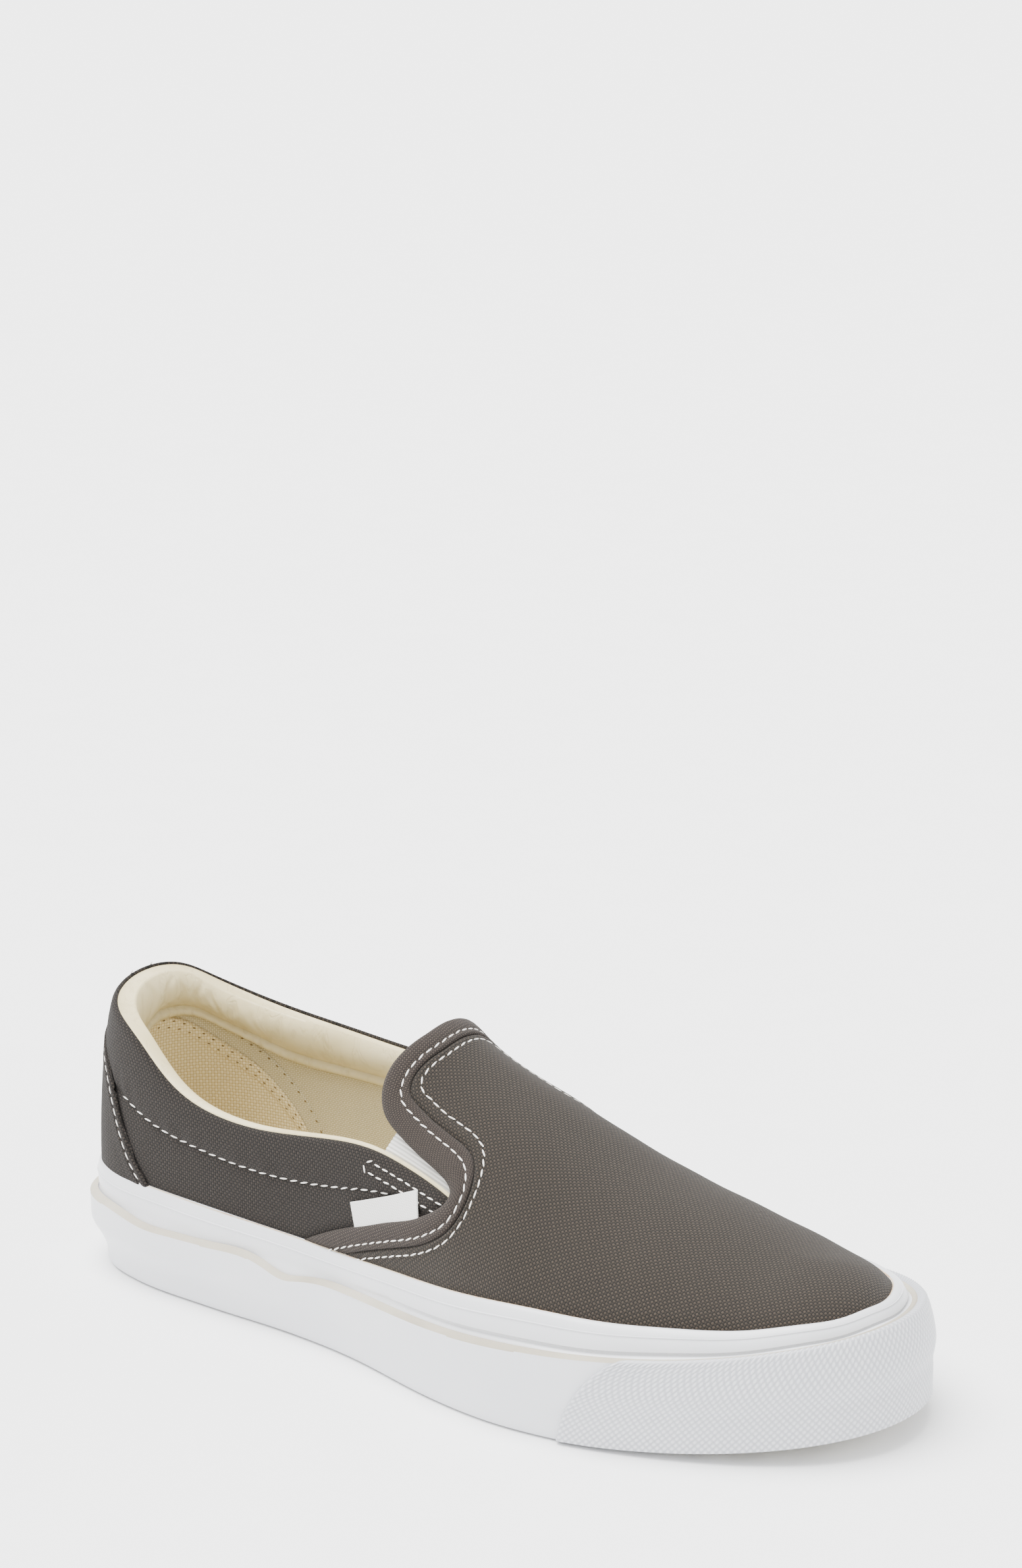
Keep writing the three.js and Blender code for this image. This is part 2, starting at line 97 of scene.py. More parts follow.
def colour(tone):
    """Linear colour of a screen tone such as 0xF2F2F0."""
    shares = [((tone >> bits) & 255) / 255 for bits in (16, 8, 0)]
    linear = [s / 12.92 if s <= 0.04045 else ((s + 0.055) / 1.055) ** 2.4 for s in shares]
    return (*linear, 1.0)


def feed(tree, made, inputs):
    """Gives each named input of a node its value, or links it to a socket."""
    for name, value in inputs.items():
        if isinstance(value, bpy.types.NodeSocket):
            tree.links.new(value, made.inputs[name])
        else:
            made.inputs[name].default_value = value


def node(tree, kind, inputs=None, **settings):
    """New node with its settings and inputs."""
    made = tree.nodes.new(kind)
    for name, value in settings.items():
        setattr(made, name, value)
    feed(tree, made, inputs or {})
    return made


def math_node(tree, operation, first, second=0.0):
    """Output of one calculation on two values or sockets."""
    made = node(tree, "ShaderNodeMath", {0: first, 1: second}, operation=operation)
    return made.outputs[0]


def mix_colours(tree, share, first, second):
    made = node(tree, "ShaderNodeMix", {0: share, 6: first, 7: second}, data_type="RGBA")
    return made.outputs[2]


def spread_of(tree, value, low, high, to_low=0.0, to_high=1.0):
    """Value carried from one range to another, and kept inside it."""
    made = node(tree, "ShaderNodeMapRange", {0: value, 1: low, 2: high, 3: to_low, 4: to_high})
    return made.outputs[0]


def noise(tree, place, scale, detail=2.0, roughness=0.5):
    inputs = {"Vector": place, "Scale": scale, "Detail": detail, "Roughness": roughness}
    return node(tree, "ShaderNodeTexNoise", inputs).outputs["Fac"]


def new_material(name):
    """Empty material with its Principled shader, and the place of a point on the piece."""
    made = bpy.data.materials.new(name)
    made.use_nodes = True
    tree = made.node_tree
    tree.nodes.clear()
    shader = tree.nodes.new("ShaderNodeBsdfPrincipled")
    output = tree.nodes.new("ShaderNodeOutputMaterial")
    tree.links.new(shader.outputs[0], output.inputs[0])
    place = tree.nodes.new("ShaderNodeTexCoord").outputs["Object"]
    return made, tree, shader, place


def set_bump(tree, shader, height, distance, strength=1.0):
    bump = node(tree, "ShaderNodeBump", {"Height": height, "Distance": distance, "Strength": strength})
    tree.links.new(bump.outputs[0], shader.inputs["Normal"])


floor_material, tree, shader, place = new_material("floor_paper")
grain = noise(tree, place, 40.0)
paper = mix_colours(tree, spread_of(tree, grain, 0.3, 0.7), colour(floor_tone), colour(0xFEFEFE))
feed(tree, shader, {"Base Color": paper, "Roughness": 0.9})
floor_mesh = bpy.data.meshes.new("floor")
half = floor_size / 2
floor_corners = [(-half, -half, 0), (half, -half, 0), (half, half, 0), (-half, half, 0)]
floor_mesh.from_pydata(floor_corners, [], [(0, 1, 2, 3)])
floor_mesh.materials.append(floor_material)
floor = bpy.data.objects.new("floor", floor_mesh)
bpy.context.scene.collection.objects.link(floor)

room = bpy.data.worlds.new("room")
room.use_nodes = True
room_light = room.node_tree.nodes["Background"]
room_light.inputs["Color"].default_value = colour(room_tone)
room_light.inputs["Strength"].default_value = room_strength
bpy.context.scene.world = room

sun_data = bpy.data.lights.new("sun", "SUN")
sun_data.energy = sun_strength
sun_data.angle = sun_disc
sun = bpy.data.objects.new("sun", sun_data)
sun.rotation_euler = sun_from.to_track_quat("Z", "Y").to_euler()
bpy.context.scene.collection.objects.link(sun)


# Lower foxing: a thick rubber strip wrapped once round the whole sole and vulcanised on.
# Its top edge is cut at a slant and shows the yellower inside, which is painted darker as well
# for the shade in the joint under the tape; its foot is tucked in, and its face keeps the soft
# lengthwise crease of the strip.
shoe_length = 280 * MM
ball_width = 103 * MM
wall_height = 22 * MM
rubber_height = 32 * MM
feather_height = 16 * MM
toe_spring = 6.5 * MM
spring_start = 0.72
foxing_thickness = 2.4 * MM
tape_thickness = 1.8 * MM
clearance = 0.3 * MM
tread_rim = 6 * MM
foot_gap = 0.5 * MM
cut_slant = 1.0 * MM
wall_stations = 420
crease_depth = 0.28 * MM
wall_wave = 0.12 * MM

# Half widths of the rubber's outline, in shares of its length and of the ball's width
outline_rows = [
    # along, lateral, medial
    (0.04, 0.25, 0.245),
    (0.1, 0.33, 0.322),
    (0.19, 0.361, 0.352),
    (0.3, 0.366, 0.35),
    (0.41, 0.379, 0.345),
    (0.5, 0.425, 0.368),
    (0.58, 0.476, 0.415),
    (0.66, 0.4995, 0.463),
    (0.74, 0.482, 0.495),
    (0.82, 0.422, 0.49),
    (0.9, 0.325, 0.425),
    (0.96, 0.205, 0.305),
]
toe_tip_share = 0.04

# Heights over the bottom edge, in shares of wall_height and rubber_height, and the tuck of
# the wall's foot, in shares of tread_rim
sole_rows = [
    # along, wall, rubber, tuck
    (0.0, 1.02, 0.99, 0.7),
    (0.2, 0.98, 0.98, 0.6),
    (0.45, 0.94, 0.92, 0.25),
    (0.6, 1.02, 1.0, 0.12),
    (0.72, 1.08, 1.02, 0.1),
    (0.85, 1.11, 0.97, 0.08),
    (1.0, 1.17, 0.93, 0.08),
]

# Waves of the wall's hand-laid top edge, in millimetres over its even line
edge_waves = [
    # along, rise
    (0.0, 0.3), (0.06, 1.0), (0.1, 0.9), (0.15, -0.7), (0.19, -0.3), (0.25, 0.7), (0.3, 1.2),
    (0.325, -0.3), (0.35, -2.0), (0.372, -1.1), (0.395, 0.0), (0.45, 0.4), (0.52, 0.0), (0.7, 0.0),
]


def smooth_curve(knots, values, period=0.0):
    """Cubic curve of continuous curvature through values at rising knots, closed if it has a period."""
    knots = np.asarray(knots, float)
    values = np.asarray(values, float)
    count = len(knots)
    ends = np.append(knots, knots[0] + period) if period else knots
    closed = np.append(values, values[0]) if period else values
    spans = np.diff(ends)
    slopes = np.diff(closed) / spans
    system = np.eye(count)
    turns = np.zeros(count)
    for i in range(0 if period else 1, count if period else count - 1):
        before = (i - 1) % count
        system[i, i] = 2 * (spans[before] + spans[i])
        system[i, before] += spans[before]
        system[i, (i + 1) % count] += spans[i]
        turns[i] = 6 * (slopes[i] - slopes[before])
    bends = np.linalg.solve(system, turns)
    bends = np.append(bends, bends[0]) if period else bends

    def at(x):
        x = np.asarray(x, float)
        t = knots[0] + np.mod(x - knots[0], period) if period else x
        i = np.clip(np.searchsorted(ends, t) - 1, 0, len(spans) - 1)
        h = spans[i]
        a = (ends[i + 1] - t) / h
        b = 1 - a
        curved = ((a**3 - a) * bends[i] + (b**3 - b) * bends[i + 1]) * h * h / 6
        return a * closed[i] + b * closed[i + 1] + curved

    return at


def columns(rows):
    """One smooth curve for each column of a table, over its first column."""
    table = np.array(rows)
    return [smooth_curve(table[:, 0], table[:, i]) for i in range(1, table.shape[1])]


def along_at(angle):
    """Share of the length at an angle round the shoe: 0 at the heel, pi at the toe tip."""
    return (1 - np.cos(angle)) / 2


def angle_at(along):
    """Angle on the outer side at a share of the length."""
    return np.arccos(1 - 2 * np.clip(along, 0, 1))


def x_at(along):
    return (along - 0.5) * shoe_length


wall_share, rubber_share, tuck_share = columns(sole_rows)
outline_alongs = [row[0] for row in outline_rows]
outline_angles = [0.0]
outline_angles += [float(angle_at(along)) for along in outline_alongs]
outline_angles += [math.pi]
outline_angles += [2 * math.pi - float(angle_at(along)) for along in reversed(outline_alongs)]
outline_widths = [0.0]
outline_widths += [-row[1] for row in outline_rows]
outline_widths += [toe_tip_share]
outline_widths += [row[2] for row in reversed(outline_rows)]
width_share = smooth_curve(outline_angles, outline_widths, 2 * math.pi)


def plan(angle):
    return np.stack([x_at(along_at(angle)), width_share(angle) * ball_width], -1)


def rim(angle, inset, z):
    """Point of the outline, moved into the shoe by an inset, at a height."""
    step = 0.01
    run = plan(angle + step) - plan(angle - step)
    run /= np.linalg.norm(run, axis=-1, keepdims=True)
    inward = np.stack([-run[..., 1], run[..., 0]], -1)
    flat = plan(angle) + inward * np.asarray(inset)[..., None]
    return np.concatenate([flat, np.broadcast_to(z, flat.shape[:-1])[..., None]], -1)


def bottom_at(along):
    return toe_spring * np.clip((along - spring_start) / (1 - spring_start), 0, 1) ** 2


def wall_top(along):
    return bottom_at(along) + wall_height * wall_share(along)


edge_rise, = columns(edge_waves)


def wall_edge(angle):
    """Height of the wall's cut edge, which runs unevenly behind the ball of the foot."""
    along = along_at(angle)
    outer = np.where(np.mod(angle, 2 * math.pi) < math.pi, 1.0, -0.4)
    fade = np.clip(along / 0.05, 0, 1) * np.clip((0.7 - along) / 0.1, 0, 1)
    return wall_top(along) + outer * fade * edge_rise(np.clip(along, 0, 0.7)) * MM


def rubber_top(along):
    return bottom_at(along) + rubber_height * rubber_share(along)


def feather_top(along):
    return bottom_at(along) + feather_height


# The last that the upper is pulled over: one section curve from the feather edge up to the
# ridge at each station. Ridge in shares of the shoe's length, instep height and ball width.
instep_height = 86 * MM
last_inset = foxing_thickness + tape_thickness + 2 * clearance
last_rows = [
    # along, ridge along, ridge height, ridge shift, side, top, lean
    (0.0, 0.14, 1.56, 0.0, 0.5, 0.62, 0.05),
    (0.12, 0.19, 1.5, 0.0, 0.5, 0.72, 0.04),
    (0.28, 0.29, 1.36, 0.0, 0.5, 0.82, 0.03),
    (0.4, 0.395, 1.15, 0.01, 0.5, 0.78, 0.02),
    (0.5, 0.49, 0.95, 0.02, 0.5, 0.68, 0.02),
    (0.6, 0.585, 0.815, 0.03, 0.5, 0.62, 0.02),
    (0.7, 0.68, 0.672, 0.04, 0.5, 0.62, 0.02),
    (0.8, 0.765, 0.588, 0.05, 0.5, 0.62, 0.01),
    (0.9, 0.84, 0.522, 0.06, 0.56, 0.67, 0.0),
    (1.0, 0.88, 0.505, 0.06, 0.62, 0.72, 0.0),
]
ridge_along, ridge_height, ridge_shift, side_share, top_share, lean_share = columns(last_rows)
ridge_rise = 0.999


def ridge(along):
    parts = [
        x_at(ridge_along(along)),
        ridge_shift(along) * ball_width,
        ridge_height(along) * instep_height,
    ]
    return np.stack(np.broadcast_arrays(*parts), -1)


def ridge_slope(along):
    step = 0.01
    low = ridge(np.maximum(0, along - step))
    high = ridge(np.minimum(1, along + step))
    return (high[..., 2] - low[..., 2]) / (high[..., 0] - low[..., 0])


def section_at(angle):
    """The four handles of the last's section curve at an angle round the shoe."""
    along = along_at(angle)
    foot = rim(angle, np.full(angle.shape, last_inset), feather_top(along))
    top = ridge(along)
    out = foot - top
    out[..., 2] = 0
    side = foot + out * lean_share(along)[..., None]
    side[..., 2] += side_share(along) * (top[..., 2] - foot[..., 2])
    shoulder = top + out * top_share(along)[..., None]
    shoulder[..., 2] += top_share(along) * out[..., 0] * ridge_slope(along)
    return foot, side, shoulder, top


def on_section(section, rise):
    foot, side, shoulder, top = section
    r = rise[..., None]
    q = 1 - r
    return q**3 * foot + 3 * q * q * r * side + 3 * q * r * r * shoulder + r**3 * top


def bare_last(angle, rise):
    """Point of the last's surface at an angle round the shoe and a rise from 0 to 1."""
    angle, rise = np.broadcast_arrays(np.asarray(angle, float), np.asarray(rise, float))
    return on_section(section_at(angle), rise)


def last_normal(angle, rise):
    angle, rise = np.broadcast_arrays(np.asarray(angle, float), np.asarray(rise, float))
    step = 0.004
    low = np.clip(rise - step, 0, 1)
    high = np.clip(rise + step, 0, 1)
    up = bare_last(angle, high) - bare_last(angle, low)
    around = bare_last(angle + step, rise) - bare_last(angle - step, rise)
    normal = np.cross(around, up)
    slope = ridge_slope(along_at(angle))
    crest = np.stack([-slope, np.zeros_like(slope), np.ones_like(slope)], -1)
    normal = np.where((rise > ridge_rise)[..., None], crest, normal)
    return normal / np.linalg.norm(normal, axis=-1, keepdims=True)


def skin(angle, rise, out=0.0):
    """Point of the last's surface, moved out along its normal."""
    out = np.asarray(out, float)
    return bare_last(angle, rise) + last_normal(angle, rise) * out[..., None]


def halved(low, high, is_short, steps=22):
    """Value between low and high at which is_short turns from true to false."""
    for _ in range(steps):
        middle = (low + high) / 2
        short = is_short(middle)
        low = np.where(short, middle, low)
        high = np.where(short, high, middle)
    return (low + high) / 2


def rise_where(angle, height_at):
    """Rise at which a section meets a height, which may depend on the point."""
    angle = np.asarray(angle, float)
    section = section_at(angle)

    def is_under(rise):
        p = on_section(section, rise)
        return p[..., 2] < height_at(p)

    return halved(np.zeros(angle.shape), np.ones(angle.shape), is_under)


def wall_face(angle, z, out):
    """Face of the rubber wall at a height: tucked in at its foot, along the last above."""
    angle, z, out = np.broadcast_arrays(angle, z, out)
    along = along_at(angle)
    feather = feather_top(along)
    low = bottom_at(along) + foot_gap
    drop = np.clip((feather - z) / (feather - low), 0, 1.05)
    tucked = np.clip(drop / 0.8, 0, 1)
    below = rim(angle, tread_rim * tuck_share(along) * tucked**2 * (3 - 2 * tucked) - out, z)
    rise = rise_where(angle, lambda p: z)
    above = skin(angle, rise, last_inset + out)
    return np.where((z > feather)[..., None], above, below)


shoe_middle = Vector((0, 0, 40 * MM))


def grid_mesh(name, points, uv=None, around=False, along=False, smooth_angle=50, inward=False):
    """Mesh of a grid of points, closed between its last and first column (around) or row (along)."""
    rows, cols = points.shape[:2]
    r = np.arange(rows if along else rows - 1)
    c = np.arange(cols if around else cols - 1)
    r0, c0 = np.meshgrid(r, c, indexing="ij")
    r1, c1 = (r0 + 1) % rows, (c0 + 1) % cols
    corners = np.stack([r0 * cols + c0, r0 * cols + c1, r1 * cols + c1, r1 * cols + c0], -1)
    quads = corners.reshape(-1, 4)
    mesh = bpy.data.meshes.new(name)
    mesh.vertices.add(rows * cols)
    mesh.vertices.foreach_set("co", points.reshape(-1).astype(np.float32))
    mesh.loops.add(quads.size)
    mesh.loops.foreach_set("vertex_index", quads.reshape(-1).astype(np.int32))
    mesh.polygons.add(len(quads))
    mesh.polygons.foreach_set("loop_start", np.arange(0, quads.size, 4, dtype=np.int32))
    mesh.update(calc_edges=True)
    if uv is not None:
        layer = mesh.uv_layers.new(name="cloth")
        cells = [uv[r0, c0], uv[r0, c0 + 1], uv[r0 + 1, c0 + 1], uv[r0 + 1, c0]]
        layer.data.foreach_set("uv", np.stack(cells, -2).reshape(-1).astype(np.float32))
    finish_mesh(mesh, smooth_angle, inward=inward)
    return mesh


def finish_mesh(mesh, smooth_angle=50, weld=0.004 * MM, inward=False):
    """Closes poles and seams, turns the faces away from the shoe's middle (inward: towards it),
    and shades the mesh smooth up to an angle."""
    work = bmesh.new()
    work.from_mesh(mesh)
    bmesh.ops.remove_doubles(work, verts=work.verts, dist=weld)
    bmesh.ops.dissolve_degenerate(work, edges=work.edges, dist=weld)
    outward = 0.0
    for face in work.faces:
        outward += face.calc_area() * face.normal.dot(face.calc_center_median() - shoe_middle)
    if (outward < 0) != inward:
        bmesh.ops.reverse_faces(work, faces=work.faces)
    work.to_mesh(mesh)
    work.free()
    mesh.shade_smooth()
    mesh.set_sharp_from_angle(angle=math.radians(smooth_angle))


def add_piece(name, mesh, materials, replaces=()):
    """New object of a finished mesh that rides on the shoe, in place of the nodes it replaces."""
    made = bpy.data.objects.new(name, mesh)
    bpy.context.scene.collection.objects.link(made)
    for material in materials:
        mesh.materials.append(material)
    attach(made, "root")
    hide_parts(*replaces)
    return made


def bump_of(x, middle, width):
    """Smooth hump of height 1 at the middle."""
    return np.exp(-(((x - middle) / width) ** 2))


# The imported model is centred, so the sizes here are moved by where its wall stands
wall_low, wall_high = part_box("lower_foxing")
ring = np.linspace(0, 2 * math.pi, wall_stations, endpoint=False)
outline = plan(ring)
middle = (outline.min(0) + outline.max(0)) / 2
offset = np.array([
    (wall_low.x + wall_high.x) / 2 - middle[0],
    (wall_low.y + wall_high.y) / 2 - middle[1],
    0.0,
])

# Face of the wall at shares of its height, with the depth of the crease and of the long wave
face_rows = [
    0, 0.015, 0.05, 0.12, 0.2, 0.28, 0.35, 0.42, 0.5, 0.58, 0.66, 0.74, 0.82, 0.9, 0.96, 0.99,
]
crease_at = 0.52
foot_round = 0.7 * MM
foot_share = 0.05


def crease_fold(share, lean=0.0):
    """Soft lengthwise crease of a strip: it swells above the crease's line and sinks below it."""
    swelling = bump_of(share, crease_at + 0.12 + lean, 0.14)
    hollow = bump_of(share, crease_at - 0.1 + lean, 0.1)
    return swelling - 0.8 * hollow


ring_along = along_at(ring)
low = bottom_at(ring_along) + foot_gap
high = wall_edge(ring) - cut_slant
lean = 0.06 * np.sin(5 * ring) + 0.04 * np.sin(11 * ring + 1)
face = []
for share in face_rows:
    wave = np.sin(9 * ring + 4 * share) + 0.6 * np.sin(23 * ring + 2)
    body = crease_depth * crease_fold(share, lean) + wall_wave * wave
    body -= foot_round * max(0.0, 1 - share / foot_share) ** 2
    face.append(wall_face(ring, low + share * (high - low), body))
cut_low = wall_face(ring, high, 0.0)
cut_high = wall_face(ring, wall_edge(ring), -cut_slant)
inside_top = wall_edge(ring) - low
inside = [wall_face(ring, low + share * inside_top, -foxing_thickness) for share in (1, 0.6, 0.3, 0)]
wall_points = np.stack([*face, cut_low, cut_high, *inside], 1) + offset


def rubber_material(name, tone, shade, roughness, speck=True):
    """White vulcanised rubber: satin, slightly cloudy, with a few specks and rubbed spots."""
    made, tree, shader, place = new_material(name)
    cloud = noise(tree, place, 24.0, 3.0)
    base = mix_colours(tree, spread_of(tree, cloud, 0.35, 0.7), colour(tone), colour(shade))
    if speck:
        dots = node(tree, "ShaderNodeTexVoronoi", {"Vector": place, "Scale": 110.0, "Randomness": 1.0})
        spots = spread_of(tree, dots.outputs["Distance"], 0.02, 0.035, 1.0, 0.0)
        rare = spread_of(tree, noise(tree, place, 60.0), 0.63, 0.68)
        base = mix_colours(tree, math_node(tree, "MULTIPLY", spots, rare), base, colour(0x8C8780))
    rubbed = noise(tree, place, 90.0, 4.0)
    gloss = spread_of(tree, rubbed, 0.3, 0.7, roughness - 0.07, roughness + 0.1)
    feed(tree, shader, {"Base Color": base, "Roughness": gloss})
    set_bump(tree, shader, noise(tree, place, 420.0, 3.0), 0.05 * MM, 0.25)
    return made


wall_rubber = rubber_material("wall_rubber", 0xD7D8DB, 0xD3D5D9, 0.38)
# Cut face: the rubber's yellower inside, darkened with painted shade for the thin shadow line where the
# tape meets the wall.
cut_rubber_shaded = rubber_material("cut_rubber_shaded", 0xC2BBAB, 0xA8A08E, 0.7, speck=False)

wall_mesh = grid_mesh("lower_foxing_wall", wall_points, around=True, along=True, smooth_angle=35)
add_piece("lower_foxing_wall", wall_mesh, [wall_rubber, cut_rubber_shaded], ["lower_foxing"])
heights = np.array([polygon.center.z for polygon in wall_mesh.polygons])
slants = np.array([polygon.normal.z for polygon in wall_mesh.polygons])
# Faces of the cut edge take the cut rubber with its painted shade.
is_cut = (slants > 0.3) & (heights > 0.5 * wall_height)
wall_mesh.polygons.foreach_set("material_index", is_cut.astype(np.int32))


# Upper foxing tape: a thinner calendered strip lapped over the foot of the canvas, above the
# lower foxing. It has a fine raised line, its rounded top lies on the canvas with a trace of
# cement, and its lower edge stands over an under-strip towards the toe.
tape_rows = [
    # share of the height between the two top edges, distance out from the last
    (-0.4, 2.6 * MM), (-0.05, 2.6 * MM), (0.02, 2.3 * MM), (0.1, 2.1 * MM), (0.17, 2.1 * MM),
    (0.2, 2.1 * MM), (0.28, 2.15 * MM), (0.4, 2.2 * MM), (0.52, 2.2 * MM), (0.59, 2.15 * MM),
    (0.615, 2.13 * MM), (0.64, 2.42 * MM), (0.665, 2.12 * MM), (0.7, 2.12 * MM), (0.78, 2.05 * MM),
    (0.85, 1.92 * MM), (0.9, 1.78 * MM), (0.94, 1.55 * MM), (0.97, 1.25 * MM), (0.99, 0.85 * MM),
    (1.0, 0.45 * MM),
]
step_foot = 0.05
step_share = 0.18
step_depth = 0.75 * MM
step_start = 0.44
step_full = 0.62
tape_wave = 0.1 * MM
tape_sway = 0.12 * MM
tape_back = 0.02 * MM

tape = []
low = wall_top(ring_along)
high = rubber_top(ring_along)
fade = np.clip((ring_along - step_start) / (step_full - step_start), 0, 1)
for share, out in tape_rows:
    under = step_depth * fade if step_foot < share < step_share else 0
    wave = tape_wave * np.sin(13 * ring + 3 * share) * (1 - max(0.0, share))
    height = low + share * (high - low) + tape_sway * np.sin(17 * ring)
    tape.append(skin(ring, rise_where(ring, lambda p: height), out + wave - under))
inner = []
for share in (1.0, 0.5, -0.4):
    rise = rise_where(ring, lambda p: low + share * (high - low))
    inner.append(skin(ring, rise, tape_back + 0 * ring))
tape_points = np.stack([*tape, *inner], 1) + offset


def cement_material():
    """Rubber with a thin uneven edge of tan cement."""
    made, tree, shader, place = new_material("tape_cement")
    patches = spread_of(tree, noise(tree, place, 70.0, 3.0), 0.42, 0.58)
    fine = spread_of(tree, noise(tree, place, 700.0, 2.0), 0.4, 0.6)
    spots = math_node(tree, "MULTIPLY", patches, fine)
    tan = mix_colours(tree, spots, colour(0xD9C7A8), colour(0xB98B5E))
    feed(tree, shader, {"Base Color": tan, "Roughness": 0.6})
    return made


tape_rubber = rubber_material("tape_rubber", 0xDADBDE, 0xD1D3D6, 0.3)
tape_mesh = grid_mesh("upper_foxing_tape", tape_points, around=True, along=True, smooth_angle=38)
add_piece("upper_foxing_tape", tape_mesh, [tape_rubber, cement_material()], ["upper_foxing"])
row_count = len(tape_rows) + len(inner)
is_cement = np.arange(len(tape_mesh.polygons)) % row_count == len(tape_rows) - 2
tape_mesh.polygons.foreach_set("material_index", is_cement.astype(np.int32))


# Toe bumper: a moulded strip over the front of the wall, with rows of small diamonds pressed
# into its face. Its ends are cut on a curve, so it reaches further back at its foot.
bumper_thickness = 1.1 * MM
bumper_foot = 0.735
bumper_head = 0.815
end_power = 1.6
bumper_columns = 760
bumper_rows = 74
diamond_pitch = 1.9 * MM
diamond_depth = 0.42 * MM
bumper_edge = 0.9 * MM
bumper_crease = 1.2 * crease_depth
bumper_length = 230 * MM
bumper_height = 1.1 * wall_height
bumper_over = 0.2 * MM
edge_seat = 0.1 * MM
cut_cover = 0.8 * MM
cut_shown = 0.25


def new_growth(name, labels):
    """Empty tree of geometry nodes, with the outputs that hold its named sizes and its finish."""
    tree = bpy.data.node_groups.new(name, "GeometryNodeTree")
    tree.interface.new_socket("Geometry", in_out="INPUT", socket_type="NodeSocketGeometry")
    for label in labels:
        tree.interface.new_socket(label, in_out="INPUT", socket_type="NodeSocketFloat")
    tree.interface.new_socket("Finish", in_out="INPUT", socket_type="NodeSocketMaterial")
    tree.interface.new_socket("Geometry", in_out="OUTPUT", socket_type="NodeSocketGeometry")
    return tree, tree.nodes.new("NodeGroupInput").outputs


def end_growth(tree, geometry, finish):
    """Real meshes of all copies, with their material, as what the tree gives."""
    whole = node(tree, "GeometryNodeRealizeInstances", {0: geometry})
    painted = node(tree, "GeometryNodeSetMaterial", {0: whole.outputs[0], "Material": finish})
    made = tree.nodes.new("NodeGroupOutput")
    tree.links.new(painted.outputs[0], made.inputs[0])


def kept_vector(tree, name):
    kept = node(tree, "GeometryNodeInputNamedAttribute", {"Name": name}, data_type="FLOAT_VECTOR")
    return kept.outputs["Attribute"]


def emboss_tree(name, diamonds):
    """Geometry nodes that press diamonds, or ribs, into a strip by the place kept at its points."""
    tree, given = new_growth(name, ("Pitch", "Depth", "Width"))
    parts = node(tree, "ShaderNodeSeparateXYZ", {0: kept_vector(tree, "place")}).outputs

    def saw(value):
        """Rises from 0 to 1 and falls again over one pitch."""
        turns = math_node(tree, "DIVIDE", value, given["Pitch"])
        return math_node(tree, "PINGPONG", turns, 0.5)

    if diamonds:
        first = saw(math_node(tree, "ADD", parts["X"], parts["Y"]))
        second = saw(math_node(tree, "SUBTRACT", parts["X"], parts["Y"]))
        height = math_node(tree, "MULTIPLY", math_node(tree, "MULTIPLY", first, second), 4.0)
    else:
        height = math_node(tree, "MULTIPLY", saw(parts["Y"]), 2.0)
    edge = math_node(tree, "DIVIDE", parts["Z"], given["Width"])
    edge = node(tree, "ShaderNodeClamp", {0: edge}).outputs[0]
    height = math_node(tree, "MULTIPLY", height, edge)
    # The relief share is kept for the material, which paints shade in the hollows with it.
    marked = node(tree, "GeometryNodeStoreNamedAttribute", {
        "Geometry": given["Geometry"], "Name": "relief", "Value": height,
    }, data_type="FLOAT", domain="POINT")
    height = math_node(tree, "MULTIPLY", height, given["Depth"])
    facing = kept_vector(tree, "facing")
    push = node(tree, "ShaderNodeVectorMath", {0: facing, "Scale": height}, operation="SCALE")
    moved = node(tree, "GeometryNodeSetPosition", {0: marked.outputs[0], "Offset": push.outputs[0]})
    end_growth(tree, moved.outputs[0], given["Finish"])
    return tree


def grown_mesh(name, base, tree, sizes):
    """Plain mesh of what a node tree makes of a base mesh, with the sizes given by their names."""
    start = bpy.data.objects.new(name + "_base", base)
    bpy.context.scene.collection.objects.link(start)
    modifier = start.modifiers.new("grow", "NODES")
    modifier.node_group = tree
    for item in tree.interface.items_tree:
        if item.name in sizes:
            modifier[item.identifier] = sizes[item.name]
    bpy.context.view_layer.update()
    grown = start.evaluated_get(bpy.context.evaluated_depsgraph_get())
    made = bpy.data.meshes.new_from_object(grown)
    made.name = name
    made.materials.clear()
    bpy.data.objects.remove(start)
    return made


def keep_vectors(mesh, name, values):
    layer = mesh.attributes.new(name, "FLOAT_VECTOR", "POINT")
    layer.data.foreach_set("vector", values.reshape(-1).astype(np.float32))


def bare_grid(name, points):
    """Grid mesh whose points stay in order, for node trees that read values at them."""
    rows, cols = points.shape[:2]
    r0, c0 = np.meshgrid(np.arange(rows - 1), np.arange(cols - 1), indexing="ij")
    first = r0 * cols + c0
    corners = np.stack([first, first + 1, first + cols + 1, first + cols], -1)
    mesh = bpy.data.meshes.new(name)
    mesh.from_pydata(points.reshape(-1, 3).tolist(), [], corners.reshape(-1, 4).tolist())
    return mesh


def paint_groove_shade(material, groove, low, high):
    """Painted shade: a darker tone in the hollows of a pressed or woven relief, where shade falls."""
    tree = material.node_tree
    shader = next(n for n in tree.nodes if n.type == "BSDF_PRINCIPLED")
    face = shader.inputs["Base Color"].links[0].from_socket
    relief = node(tree, "ShaderNodeAttribute", {}, attribute_name="relief").outputs["Fac"]
    tone = mix_colours(tree, spread_of(tree, relief, low, high), colour(groove), face)
    tree.links.new(tone, shader.inputs["Base Color"])


